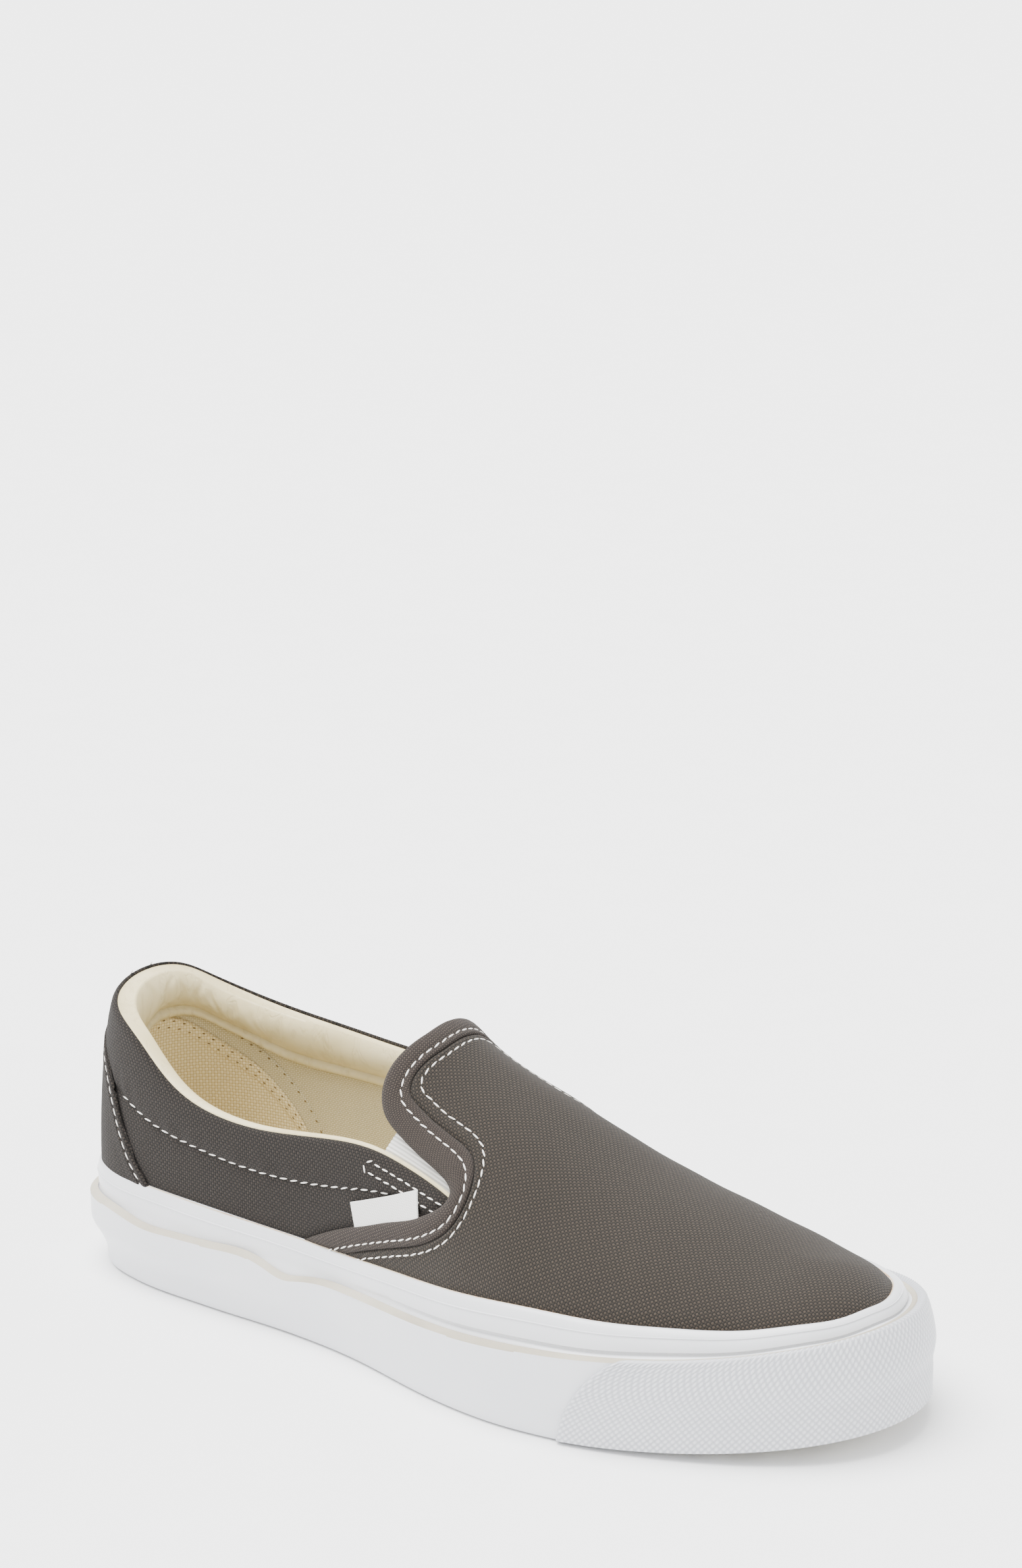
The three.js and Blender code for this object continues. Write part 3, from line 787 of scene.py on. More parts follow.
up_share = np.linspace(0, 1, bumper_rows)[None, :]
end_curve = 1 - np.sqrt(1 - 0.999 * up_share**end_power)
start = angle_at(bumper_foot + (bumper_head - bumper_foot) * end_curve)
across = np.linspace(0, 1, bumper_columns)[:, None]
angle = start + across * (2 * math.pi - 2 * start)
share = up_share + 0 * angle
low = bottom_at(along_at(angle)) + foot_gap
high = wall_edge(angle) + bumper_over
from_top = (1 - share) * (high - low)
from_end = np.minimum(across, 1 - across) * bumper_length
from_edge = np.minimum(np.minimum(share, 1 - share) * (high - low), from_end)


def rounded_off(distance):
    """Falls from 1 at an edge of the strip to 0 where its full thickness starts."""
    return (1 - np.clip(distance / bumper_edge, 0, 1)) ** 2


body = clearance + bumper_thickness + bumper_crease * crease_fold(share)
body -= (bumper_thickness + clearance + edge_seat) * rounded_off(from_edge)
body -= cut_cover * rounded_off(from_top)
height = np.minimum(low + share * (high - low), wall_edge(angle) - cut_shown * cut_slant)
face = wall_face(angle, height, body)
run = np.gradient(face, axis=0)
facing = np.cross(run, np.gradient(face, axis=1))
facing /= np.linalg.norm(facing, axis=-1, keepdims=True) + 1e-12
steps = np.linalg.norm(run, axis=-1)
travel = np.cumsum(steps[:, bumper_rows // 2])[:, None] + 0 * share
bumper_base = bare_grid("bumper_base", face + offset)
keep_vectors(bumper_base, "facing", facing)
keep_vectors(bumper_base, "place", np.stack([travel, share * bumper_height, from_edge], -1))
bumper_rubber = rubber_material("bumper_rubber", 0xDADBDE, 0xD1D3D7, 0.34, speck=False)
# Painted shade in the hollows of the pressed diamonds.
paint_groove_shade(bumper_rubber, 0xABADB3, 0.0, 0.5)
sizes = {"Pitch": diamond_pitch, "Depth": diamond_depth, "Width": bumper_edge, "Finish": bumper_rubber}
bumper_mesh = grown_mesh("toe_bumper_strip", bumper_base, emboss_tree("pressed_diamonds", True), sizes)
finish_mesh(bumper_mesh, smooth_angle=75)
add_piece("toe_bumper_strip", bumper_mesh, [bumper_rubber], ["toe_bumper"])


# Outsole and midsole: the moulded rubber sheet with its straight grooves, and the filler above
# it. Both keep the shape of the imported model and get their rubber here.
sole_rubber = rubber_material("sole_rubber", 0xE6E4DD, 0xD9D6CC, 0.55)
filler_rubber = rubber_material("filler_rubber", 0xDAD6CB, 0xCFCABD, 0.8)
for name, rubber in (("outsole", sole_rubber), ("midsole", filler_rubber)):
    for material_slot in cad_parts[name].material_slots:
        material_slot.material = rubber


# Canvas quarters: the two sides and the heel, cut from heavy plain-woven canvas and joined at
# the back. They run in under the vamp at the front and the tape at the foot. Above the
# collar's stitch line foam behind the canvas makes it puff out.
collar_height = 85 * MM
collar_tilt = 0.09
canvas_thickness = 1.0 * MM
quarter_front = 0.63
quarter_columns = 380
hidden_foot = 4 * MM
map_rise = 0.35
collar_puff = 0.85 * MM
stitch_dip = 0.35 * MM
roll_depth = 0.9 * MM
ripple_depth = 0.18 * MM
flat_ahead = 2.5 * MM
flat_run = 3 * MM
flat_depth = 0.5 * MM

# Side view of the opening's edge and of the stitch line below it, in shares of the shoe's
# length and collar_height
collar_rows = [
    # along, up
    (-0.02, 1.02), (0.03, 1.0), (0.07, 0.96), (0.118, 0.905), (0.176, 0.79), (0.245, 0.72),
    (0.306, 0.71), (0.38, 0.73), (0.45, 0.738), (0.5, 0.71), (0.56, 0.66), (0.61, 0.6), (0.68, 0.52),
]
inner_collar_rows = [
    # along, up
    (-0.02, 1.01), (0.03, 1.0), (0.045, 0.98), (0.065, 0.93), (0.1, 0.868), (0.155, 0.819),
    (0.23, 0.789), (0.309, 0.772), (0.4, 0.766), (0.45, 0.757), (0.5, 0.728), (0.56, 0.66),
    (0.61, 0.6), (0.68, 0.52),
]
inner_stitch_rows = [
    # along, up
    (-0.02, 0.82), (0.035, 0.81), (0.069, 0.755), (0.11, 0.7), (0.157, 0.655), (0.21, 0.637),
    (0.267, 0.63), (0.345, 0.63), (0.421, 0.63), (0.482, 0.62), (0.56, 0.58), (0.68, 0.45),
]
side_blend = 9 * MM
stitch_rows = [
    # along, up
    (-0.02, 0.74), (0.05, 0.725), (0.101, 0.686), (0.148, 0.634), (0.203, 0.6), (0.27, 0.574),
    (0.345, 0.568), (0.421, 0.594), (0.482, 0.62), (0.56, 0.58), (0.68, 0.45),
]

# Edge of the vamp over the quarters, from the throat down to the notch and back to the tape,
# in shares of the shoe's length and instep_height
throat_rows = [
    # along, up
    (0.475, 1.09), (0.462, 1.05), (0.454, 1.015), (0.448, 0.965), (0.449, 0.895), (0.461, 0.83),
    (0.48, 0.79), (0.505, 0.752), (0.535, 0.717), (0.555, 0.69), (0.5645, 0.66),
]
wing_rows = [
    # along, up
    (0.563, 0.642), (0.552, 0.61), (0.535, 0.58), (0.505, 0.545), (0.445, 0.478), (0.39, 0.405),
    (0.33, 0.3),
]
collar_up, = columns(collar_rows)
inner_collar_up, = columns(inner_collar_rows)
stitch_up, = columns(stitch_rows)
inner_stitch_up, = columns(inner_stitch_rows)


def side_line(p, outer, inner):
    """Height over a point of an edge that has its own line on each side of the foot."""
    along = p[..., 0] / shoe_length + 0.5
    share = 1 / (1 + np.exp(-np.clip(4 * p[..., 1] / side_blend, -40, 40)))
    up = outer(along) * (1 - share) + inner(along) * share
    return up * collar_height + collar_tilt * p[..., 1]


def collar_line(p, drop=0.0):
    return side_line(p, collar_up, inner_collar_up) - drop


def stitch_line(p):
    return side_line(p, stitch_up, inner_stitch_up)


def run_length(points, axis):
    """Distance travelled along one axis of a grid of points."""
    steps = np.linalg.norm(np.diff(points, axis=axis), axis=-1)
    first = np.zeros_like(np.take(steps, [0], axis=axis))
    return np.cumsum(np.concatenate([first, steps], axis), axis)


def side_points(rows, height):
    """Points of the side view, from rows of shares of the shoe's length and of a height."""
    along, up = np.array(rows).T
    return np.stack([x_at(along), up * height], -1)


def side_curve(rows, height, count=700):
    """Dense side-view curve through rows of shares, with its normal to the left of its run."""
    points = side_points(rows, height)
    knots = run_length(points, 0)
    at = np.linspace(0, knots[-1], count)
    curve = np.stack([smooth_curve(knots, points[:, i])(at) for i in (0, 1)], 1)
    run = np.gradient(curve, axis=0)
    run /= np.linalg.norm(run, axis=1, keepdims=True)
    return curve, np.stack([-run[:, 1], run[:, 0]], 1)


def woven_material(name, warp, weft, gap, pitch, depth, sheen=0.0, mottle=0.35, fuzz=0.3):
    """Plain weave on the piece's own cloth map: warp and weft floats, dark gaps, uneven yarns."""
    made, tree, shader, _ = new_material(name)
    cloth = tree.nodes.new("ShaderNodeUVMap")
    cloth.uv_map = "cloth"
    wobble = node(tree, "ShaderNodeTexNoise", {
        "Vector": cloth.outputs[0], "Scale": 0.22 / pitch, "Detail": 2.0,
    })
    drift = node(tree, "ShaderNodeVectorMath", {
        0: wobble.outputs["Color"], "Scale": 0.55 * pitch,
    }, operation="SCALE")
    bent = node(tree, "ShaderNodeVectorMath", {0: cloth.outputs[0], 1: drift.outputs[0]}).outputs[0]
    parts = node(tree, "ShaderNodeSeparateXYZ", {0: bent}).outputs
    warp_wave = math_node(tree, "SINE", math_node(tree, "MULTIPLY", parts["X"], math.pi / pitch))
    weft_wave = math_node(tree, "SINE", math_node(tree, "MULTIPLY", parts["Y"], math.pi / pitch))
    product = math_node(tree, "MULTIPLY", warp_wave, weft_wave)
    bulge = math_node(tree, "POWER", math_node(tree, "ABSOLUTE", product), 0.55)
    over = spread_of(tree, product, -0.15, 0.15)
    height = math_node(tree, "MULTIPLY", bulge, spread_of(tree, over, 0.0, 1.0, 0.72, 1.0))
    thread = noise(tree, bent, 0.9 / pitch, 3.0, 0.6)
    fibre = noise(tree, bent, 5.0 / pitch, 2.0, 0.6)
    yarn = mix_colours(tree, over, colour(weft), colour(warp))
    yarn = mix_colours(tree, spread_of(tree, thread, 0.32, 0.68, 0.0, mottle), yarn, colour(gap))
    yarn = mix_colours(tree, spread_of(tree, fibre, 0.5, 0.8, 0.0, fuzz), yarn, colour(warp))
    base = mix_colours(tree, spread_of(tree, height, 0.12, 0.62), colour(gap), yarn)
    feed(tree, shader, {
        "Base Color": base, "Roughness": 0.92, "Specular IOR Level": 0.2, "Sheen Weight": sheen,
        "Sheen Roughness": 0.6,
    })
    total = math_node(tree, "ADD", height, math_node(tree, "MULTIPLY", fibre, 0.25))
    set_bump(tree, shader, total, depth, 0.9)
    return made


def on_side(angle, side):
    """Angle of a place on the outer side, or of its mirror place: side -1 outer, 1 inner."""
    return angle if side < 0 else 2 * math.pi - angle


def round_heel(end, count):
    """Turns from the outer side over the back seam to the inner side, with their angles."""
    turns = np.linspace(-end, end, count)
    return turns, np.where(turns < 0, -turns, 2 * math.pi - turns)


def cloth_map(rounds, points):
    """Cloth map of a panel round the heel: its run along the last, and up each column."""
    around = run_length(skin(rounds, 0 * rounds + map_rise), 0)
    return np.stack([around + 0 * points[..., 0], run_length(points, 0)], -1)


def foot_rise(angle):
    """Rise of the canvas's foot, hidden behind the tape."""
    return rise_where(angle, lambda p: rubber_top(along_at(angle)) - hidden_foot)


_, quarter_rounds = round_heel(float(angle_at(quarter_front)), quarter_columns)
quarter_base = foot_rise(quarter_rounds)
quarter_stitch = rise_where(quarter_rounds, stitch_line)
quarter_edge = rise_where(quarter_rounds, collar_line)
lower = np.linspace(0, 1, 34)[:, None]
upper = np.linspace(0, 1, 30)[1:, None] ** 0.9
quarter_rises = np.concatenate([
    quarter_base + lower * (quarter_stitch - quarter_base),
    quarter_stitch + upper * (quarter_edge - quarter_stitch),
])
edge_curve, edge_normal = side_curve(throat_rows + wing_rows, instep_height)


def quarter_out(angle, rise):
    """How far the quarter stands out: puffed over the foam, dipped at the seam, and flat under
    the vamp."""
    base = foot_rise(angle)
    seam = rise_where(angle, stitch_line)
    edge = np.maximum(rise_where(angle, collar_line), seam + 1e-4)
    over_seam = rise - seam
    share_up = np.where(over_seam > 0, over_seam / (edge - seam), over_seam / (seam - base + 1e-6))
    seam_dip = -stitch_dip * (bump_of(share_up, 0, 0.05) + 0.5 * bump_of(share_up, 0, 0.16))
    puff = collar_puff * np.sin(math.pi * np.clip(share_up, 0, 1)) ** 0.7
    roll = -roll_depth * np.clip((share_up - 0.9) / 0.1, 0, 1) ** 2
    ripple = ripple_depth * np.sin(70 * angle) * np.sin(11 * angle + 1) * bump_of(share_up, 0.12, 0.2)
    flat = bare_last(angle, rise)
    side_view = np.stack([flat[..., 0], flat[..., 2] - collar_tilt * flat[..., 1]], -1)
    gaps = side_view[..., None, :] - edge_curve[::6]
    nearest = (gaps**2).sum(-1).argmin(-1)
    closest = np.take_along_axis(gaps, nearest[..., None, None], -2)[..., 0, :]
    ahead = (closest * edge_normal[::6][nearest]).sum(-1)
    under_vamp = np.clip((ahead + flat_ahead) / flat_run, 0, 1)
    return (seam_dip + puff + roll + ripple) * (1 - under_vamp) - flat_depth * under_vamp


quarter_all = quarter_rounds + 0 * quarter_rises
quarter_points = skin(quarter_all, quarter_rises, quarter_out(quarter_all, quarter_rises))

canvas = woven_material(
    "charcoal_canvas", 0x352F2A, 0x25211E, 0x0C0B0A, pitch=0.8 * MM, depth=0.22 * MM, sheen=0.03,
)
quarter_uv = cloth_map(quarter_rounds, quarter_points)
quarter_mesh = grid_mesh("canvas_quarters", quarter_points + offset, quarter_uv)
quarters = add_piece("canvas_quarters", quarter_mesh, [canvas], ["upper"])


def give_thickness(piece, thickness, side=-1.0):
    """Wall of real thickness behind the visible face of a sewn panel."""
    wall = piece.modifiers.new("wall", "SOLIDIFY")
    wall.thickness = thickness
    wall.offset = side
    wall.use_even_offset = False
    return wall


give_thickness(quarters, canvas_thickness)


# Vamp: one canvas piece over the toe and instep, with a wing down each side. It lies over the
# quarters, and its edge round the throat and wings carries the folded and stitched binding.
vamp_lift = 0.6 * MM
vamp_thickness = 0.5 * MM
vamp_count = 170
vamp_columns = 74
ridge_blend = 14
body_profile = [
    # distance from the folded edge, distance out from the last
    (6.15 * MM, 0.1 * MM), (6.45 * MM, 0.15 * MM), (6.75 * MM, 0.55 * MM), (7.1 * MM, 0.9 * MM),
    (7.6 * MM, 1.05 * MM), (8.1 * MM, 0.85 * MM), (8.6 * MM, 0.62 * MM), (9.1 * MM, 0.82 * MM),
]
body_fade = 0.22 * MM
edge_profile = [
    # distance from the folded edge, distance out from the last
    (2.2 * MM, -1.15 * MM), (0.9 * MM, -1.15 * MM), (0.1 * MM, -1.0 * MM), (-0.3 * MM, -0.6 * MM),
    (-0.45 * MM, 0.0 * MM), (-0.35 * MM, 0.6 * MM), (0.0 * MM, 1.1 * MM), (0.5 * MM, 1.45 * MM),
    (1.2 * MM, 1.62 * MM), (2.2 * MM, 1.66 * MM), (3.2 * MM, 1.58 * MM), (3.9 * MM, 1.38 * MM),
    (4.35 * MM, 1.12 * MM), (4.6 * MM, 1.05 * MM), (4.85 * MM, 1.12 * MM), (5.3 * MM, 1.3 * MM),
    (5.8 * MM, 1.3 * MM), (6.2 * MM, 1.05 * MM), (6.42 * MM, 0.6 * MM), (6.5 * MM, 0.1 * MM),
]
stitch_distances = [4.6 * MM, 8.6 * MM]


def find_on_last(x, height, side):
    """Angle and rise where the side view of the last shows a point."""
    target = x / shoe_length + 0.5

    def rise_at(angle):
        return rise_where(angle, lambda p: height + collar_tilt * p[..., 1])

    def is_short(angle):
        turned = on_side(angle, side)
        return bare_last(turned, rise_at(turned))[..., 0] < x

    low = angle_at(np.clip(target - 0.16, 0, 1))
    high = angle_at(np.clip(target + 0.16, 0, 1))
    found = on_side(halved(low, high, is_short, steps=18), side)
    return found, rise_at(found)


def soften(values, width):
    """Values averaged over their neighbours, with both ends kept."""
    reach = int(3 * width)
    weights = np.exp(-((np.arange(-reach, reach + 1) / width) ** 2) / 2)
    start = 2 * values[0] - values[reach:0:-1]
    end = 2 * values[-1] - values[-2:-reach - 2:-1]
    return np.convolve(np.concatenate([start, values, end]), weights / weights.sum(), "valid")


def unfold(angles, rises):
    """Line on the last without the loops that an offset makes inside a tight bend."""
    points = bare_last(angles, rises)
    trend = np.stack([np.gradient(soften(points[:, i], 24)) for i in range(3)], -1)
    steps = (np.diff(points, axis=0) * trend[1:]).sum(-1) / np.linalg.norm(trend[1:], axis=-1)
    place = np.concatenate([[0.0], np.cumsum(steps)])
    front = np.maximum.accumulate(place)
    back = np.minimum.accumulate(place[::-1])[::-1]
    kept = (place >= front - 1e-7) & (place <= back + 1e-7)
    kept[[0, -1]] = True
    index = np.arange(len(angles))
    clear = [np.interp(index, index[kept], values[kept]) for values in (angles, rises)]
    return soften(clear[0], 5), soften(clear[1], 5)


def vamp_lines(distances, side, count):
    """Angles and rises of lines beside the vamp's edge, from the ridge down to the wing's foot."""
    curve, normal = side_curve(throat_rows + wing_rows, instep_height)
    spread_along = np.linspace(0, 1, 201)
    crest = ridge(spread_along)
    crest_height = crest[:, 2] - collar_tilt * crest[:, 1]
    order = np.argsort(crest[:, 0])
    xs, heights = [], []
    for distance in distances:
        line = curve + normal * distance
        over = line[:, 1] - np.interp(line[:, 0], crest[order, 0], crest_height[order])
        first = int(np.argmax(over < 0))
        start = first - over[first] / (over[first] - over[first - 1])
        at = start + (len(line) - 1 - start) * np.linspace(0, 1, 420) ** 1.7
        xs.append(np.interp(at, np.arange(len(line)), line[:, 0]))
        heights.append(np.interp(at, np.arange(len(line)), line[:, 1]))
    angles, rises = find_on_last(np.array(xs), np.array(heights), side)
    rises[:, 0] = 1.0
    for row in range(len(angles)):
        angles[row], rises[row] = unfold(angles[row], rises[row])
    points = bare_last(angles, rises)
    lengths = run_length(points, 1)
    found = []
    for line_angles, line_rises, length in zip(angles, rises, lengths):
        at = np.linspace(0, length[-1], count)
        found.append((np.interp(at, length, line_angles), np.interp(at, length, line_rises)))
    return np.array([f[0] for f in found]), np.array([f[1] for f in found])


def both_sides(distances, count):
    """The same lines from the outer wing's foot over the throat to the inner wing's foot."""
    outer_angles, outer_rises = vamp_lines(distances, -1, count)
    inner_angles, inner_rises = vamp_lines(distances, 1, count)
    apart = 2 * math.pi - inner_angles[:, :1] - outer_angles[:, :1]
    share = np.exp(-((np.arange(count) / ridge_blend) ** 2)) / 2
    outer_angles = outer_angles + apart * share
    inner_angles = inner_angles + apart * share
    angles = np.concatenate([outer_angles[:, ::-1], inner_angles[:, 1:]], 1)
    rises = np.concatenate([outer_rises[:, ::-1], inner_rises[:, 1:]], 1)
    return angles, rises


def laid_over(angle, rise, steps=14):
    """Cloth map of the vamp, as canvas laid over the last from its ridge down all round."""
    section = section_at(angle)
    out = section[0] - section[3]
    flat = np.hypot(out[..., 0], out[..., 1]) + 1e-9
    lengthwise, crosswise = out[..., 0] / flat, out[..., 1] / flat
    spread_along = np.linspace(0, 1, 301)
    crest = ridge(spread_along)
    crest_run = run_length(crest, 0)
    u = np.interp(along_at(angle), spread_along, crest_run)
    v = np.zeros_like(u)
    previous = on_section(section, np.ones_like(rise))
    for step in range(1, steps + 1):
        here = on_section(section, 1 - (1 - rise) * step / steps)
        d = here - previous
        u = u + np.sign(lengthwise) * np.hypot(d[..., 0], lengthwise * d[..., 2])
        v = v + np.sign(crosswise) * np.hypot(d[..., 1], crosswise * d[..., 2])
        previous = here
    return np.stack([u, v], -1)


body_distances, body_levels = np.array(body_profile).T
edge_distances, edge_levels = np.array(edge_profile).T
body_count, edge_count = len(body_profile), len(edge_profile)
line_angles, line_rises = both_sides([*body_distances, *edge_distances, *stitch_distances], vamp_count)
groups = [body_count, body_count + edge_count]
body_angles, edge_angles, row_angles = np.split(line_angles, groups)
body_rises, edge_rises, row_rises = np.split(line_rises, groups)

lap_out = 0.4 * MM
lap_fade = 2.5 * MM


def lapped_flat(angle, rise, out):
    """Cloth pressed flat where the tape laps over its foot."""
    above = skin(angle, rise, 0 * rise)[..., 2] - rubber_top(along_at(angle))
    press = np.clip(above / lap_fade, 0, 1)
    return np.where(out > lap_out, lap_out + (out - lap_out) * press, out)


# Lines of the vamp's grid run from its edge to the toe, and spread towards the ridge on the way
fan_rows = [
    # share of the half edge from the wing's foot to the middle, spread
    (0.0, 0.0), (0.58, 0.0), (0.86, 0.62), (1.0, 0.62),
]
fan_speed = 4.0
slow_start = 1.4
last_line = body_angles[-1]
last_foot = foot_rise(last_line)
flow = (body_rises[-1] - last_foot) / (1 - last_foot)
fan_share, fan_spread = np.array(fan_rows).T
half_spread = np.interp(np.linspace(0, 1, vamp_count), fan_share, fan_spread)
toe_flow = flow + (1 - flow) * np.concatenate([half_spread, half_spread[-2::-1]])
toe_flow = (toe_flow + toe_flow[::-1]) / 2
to_toe = np.linspace(0, 1, vamp_columns)[1:, None]
field_angles = last_line + to_toe**slow_start * (math.pi - last_line)
field_foot = foot_rise(field_angles)
field_flow = flow + (1 - (1 - to_toe) ** fan_speed) * (toe_flow - flow)
field_rises = np.clip(field_foot + field_flow * (1 - field_foot), 0, 1)
vamp_angles = np.concatenate([body_angles, field_angles])
vamp_rises = np.concatenate([body_rises, field_rises])
vamp_flat = bare_last(vamp_angles, vamp_rises)
waves = (
    0.16 * np.sin(95 * vamp_flat[..., 0] + 60 * vamp_flat[..., 1] + 1.0)
    + 0.12 * np.sin(170 * vamp_flat[..., 1] - 60 * vamp_flat[..., 0])
    + 0.08 * np.sin(310 * vamp_flat[..., 0] + 140 * vamp_flat[..., 1])
) * MM
body_out = body_levels[:, None] + 0 * body_rises
field_out = vamp_lift + body_fade * np.exp(-to_toe * 30)
field_out = field_out + waves[body_count:] * np.clip(to_toe * 5, 0, 1)
vamp_out = lapped_flat(vamp_angles, vamp_rises, np.concatenate([body_out, field_out]))
vamp_points = skin(vamp_angles, vamp_rises, vamp_out)
vamp_uv = laid_over(vamp_angles, vamp_rises)
vamp_mesh = grid_mesh("canvas_vamp", vamp_points + offset, vamp_uv)
vamp_canvas = woven_material(
    "vamp_canvas", 0x3E362E, 0x2C2721, 0x0F0E0C, pitch=0.8 * MM, depth=0.22 * MM, sheen=0.05,
)
vamp = add_piece("canvas_vamp", vamp_mesh, [vamp_canvas], ["upper"])
give_thickness(vamp, vamp_thickness)


# Vamp binding: a bias strip of the same canvas folded round the vamp's edge, so its weave runs
# slantwise. Two rows of white thread hold it, one through the fold and one beside it, with a
# dark groove between them.
binding_thickness = 0.2 * MM
tucked_under = 0.2 * MM
laid_out = 0.02 * MM
pull_depth = 0.07 * MM
pull_reach = 1.2 * MM
bias = math.radians(38)
edge_out = edge_levels[:, None] + 0 * edge_rises
share_run = np.linspace(-1, 1, edge_rises.shape[1])
notch_share = float(np.abs(share_run[np.argmax(edge_angles[5, :vamp_count])]))
on_quarter = np.clip((np.abs(share_run) - notch_share + 0.02) / 0.04, 0, 1)
laid = edge_out * (1 - on_quarter) + laid_out * on_quarter
edge_out = np.where(edge_out < tucked_under, laid, edge_out)
pull = pull_depth * np.sin(share_run * 640)
edge_out = edge_out + pull * bump_of(edge_distances[:, None], stitch_distances[0], pull_reach)
edge_out = lapped_flat(edge_angles, edge_rises, edge_out)
edge_points = skin(edge_angles, edge_rises, edge_out)
lengthwise = run_length(edge_points, 1)[edge_count // 2] + 0 * edge_rises
crosswise = run_length(edge_points, 0)
edge_uv = np.stack([
    lengthwise * math.cos(bias) + crosswise * math.sin(bias),
    crosswise * math.cos(bias) - lengthwise * math.sin(bias),
], -1)
binding_canvas = woven_material(
    "binding_canvas", 0x483F38, 0x352E2A, 0x12100F, pitch=0.62 * MM, depth=0.16 * MM, sheen=0.05,
)
edge_mesh = grid_mesh("vamp_edge_binding", edge_points + offset, edge_uv, smooth_angle=70)
edge_band = add_piece("vamp_edge_binding", edge_mesh, [binding_canvas], ["vamp_binding"])
give_thickness(edge_band, binding_thickness)

thread_width = 0.52 * MM
thread_height = 0.42 * MM


def thread_material():
    """Bonded white thread with a faint twist and soiling."""
    made, tree, shader, place = new_material("white_thread")
    soil = noise(tree, place, 900.0, 3.0)
    tone = mix_colours(tree, spread_of(tree, soil, 0.35, 0.75), colour(0xF4F1EC), colour(0xCFC9C0))
    feed(tree, shader, {"Base Color": tone, "Roughness": 0.6})
    set_bump(tree, shader, noise(tree, place, 2500.0, 2.0), 0.05 * MM, 0.6)
    return made


def stitch_tree():
    """Geometry nodes that lay one small thread loop at every pitch of a seam's path."""
    tree, given = new_growth("stitches", ("Pitch", "Length", "Width", "Height", "Slant"))
    path = node(tree, "GeometryNodeMeshToCurve", {0: given["Geometry"]})
    spaced = node(tree, "GeometryNodeResampleCurve", {
        "Curve": path.outputs[0], "Length": given["Pitch"],
    }, mode="LENGTH")
    loop = node(tree, "GeometryNodeMeshUVSphere", {"Segments": 8, "Rings": 5, "Radius": 0.5})
    size = node(tree, "ShaderNodeCombineXYZ", {
        "X": given["Length"], "Y": given["Width"], "Z": given["Height"],
    })
    shaped = node(tree, "GeometryNodeTransform", {
        "Geometry": loop.outputs["Mesh"], "Scale": size.outputs[0],
    })
    run = tree.nodes.new("GeometryNodeInputTangent")
    along = node(tree, "FunctionNodeAlignRotationToVector", {"Vector": run.outputs[0]}, axis="X")
    upright = node(tree, "FunctionNodeAlignRotationToVector", {
        "Rotation": along.outputs[0], "Vector": kept_vector(tree, "facing"),
    }, axis="Z", pivot_axis="X")
    jitter = node(tree, "FunctionNodeRandomValue", {2: -0.1, 3: 0.1, "Seed": 3}, data_type="FLOAT")
    twist = node(tree, "ShaderNodeCombineXYZ", {
        "Z": math_node(tree, "ADD", jitter.outputs[1], given["Slant"]),
    })
    swing = node(tree, "FunctionNodeEulerToRotation", {0: twist.outputs[0]})
    turned = node(tree, "FunctionNodeRotateRotation", {
        0: upright.outputs[0], 1: swing.outputs[0],
    }, rotation_space="LOCAL")
    laid = node(tree, "GeometryNodeInstanceOnPoints", {
        "Points": spaced.outputs[0], "Instance": shaped.outputs[0], "Rotation": turned.outputs[0],
    })
    end_growth(tree, laid.outputs[0], given["Finish"])
    return tree


white_thread = thread_material()
stitches = stitch_tree()


def sew(name, paths, pitch, length, thread=white_thread, slant=0.12):
    """Piece of stitches along paths, each a pair of points and outward directions."""
    mesh = bpy.data.meshes.new(name + "_path")
    points = np.concatenate([p for p, _ in paths])
    facings = np.concatenate([f for _, f in paths])
    edges, start = [], 0
    for p, _ in paths:
        edges += [(start + i, start + i + 1) for i in range(len(p) - 1)]
        start += len(p)
    mesh.from_pydata((points + offset).tolist(), edges, [])
    keep_vectors(mesh, "facing", facings)
    sizes = {
        "Pitch": pitch, "Length": length, "Width": thread_width, "Height": thread_height,
        "Slant": slant, "Finish": thread,
    }
    made = grown_mesh(name, mesh, stitches, sizes)
    made.shade_smooth()
    add_piece(name, made, [thread])


def seam_path(angles, rises, out, facing=1.0):
    """Points of a seam that lies a little way out from the last, and the way its thread faces."""
    return skin(angles, rises, out), facing * last_normal(angles, rises)


stitch_levels = [1.12 * MM, 0.7 * MM]
vamp_paths = [seam_path(*row) for row in zip(row_angles, row_rises, stitch_levels)]
sew("vamp_stitches", vamp_paths, pitch=3.15 * MM, length=2.75 * MM)


# Collar stitch row: white thread through canvas, foam and lining, below the padded edge. It
# runs from the counter's edge to the side tag.
row_backs = {-1: 0.1, 1: 0.075}
row_front = 0.475
row_depth = stitch_dip - 0.05 * MM
collar_paths = []
for side, row_back in row_backs.items():
    angles = np.linspace(float(angle_at(row_back)), float(angle_at(row_front)), 160)
    angles = on_side(angles, side)
    rises = rise_where(angles, stitch_line)
    collar_paths.append(seam_path(angles, rises, -row_depth))
sew("collar_stitches", collar_paths, pitch=3.8 * MM, length=3.1 * MM)


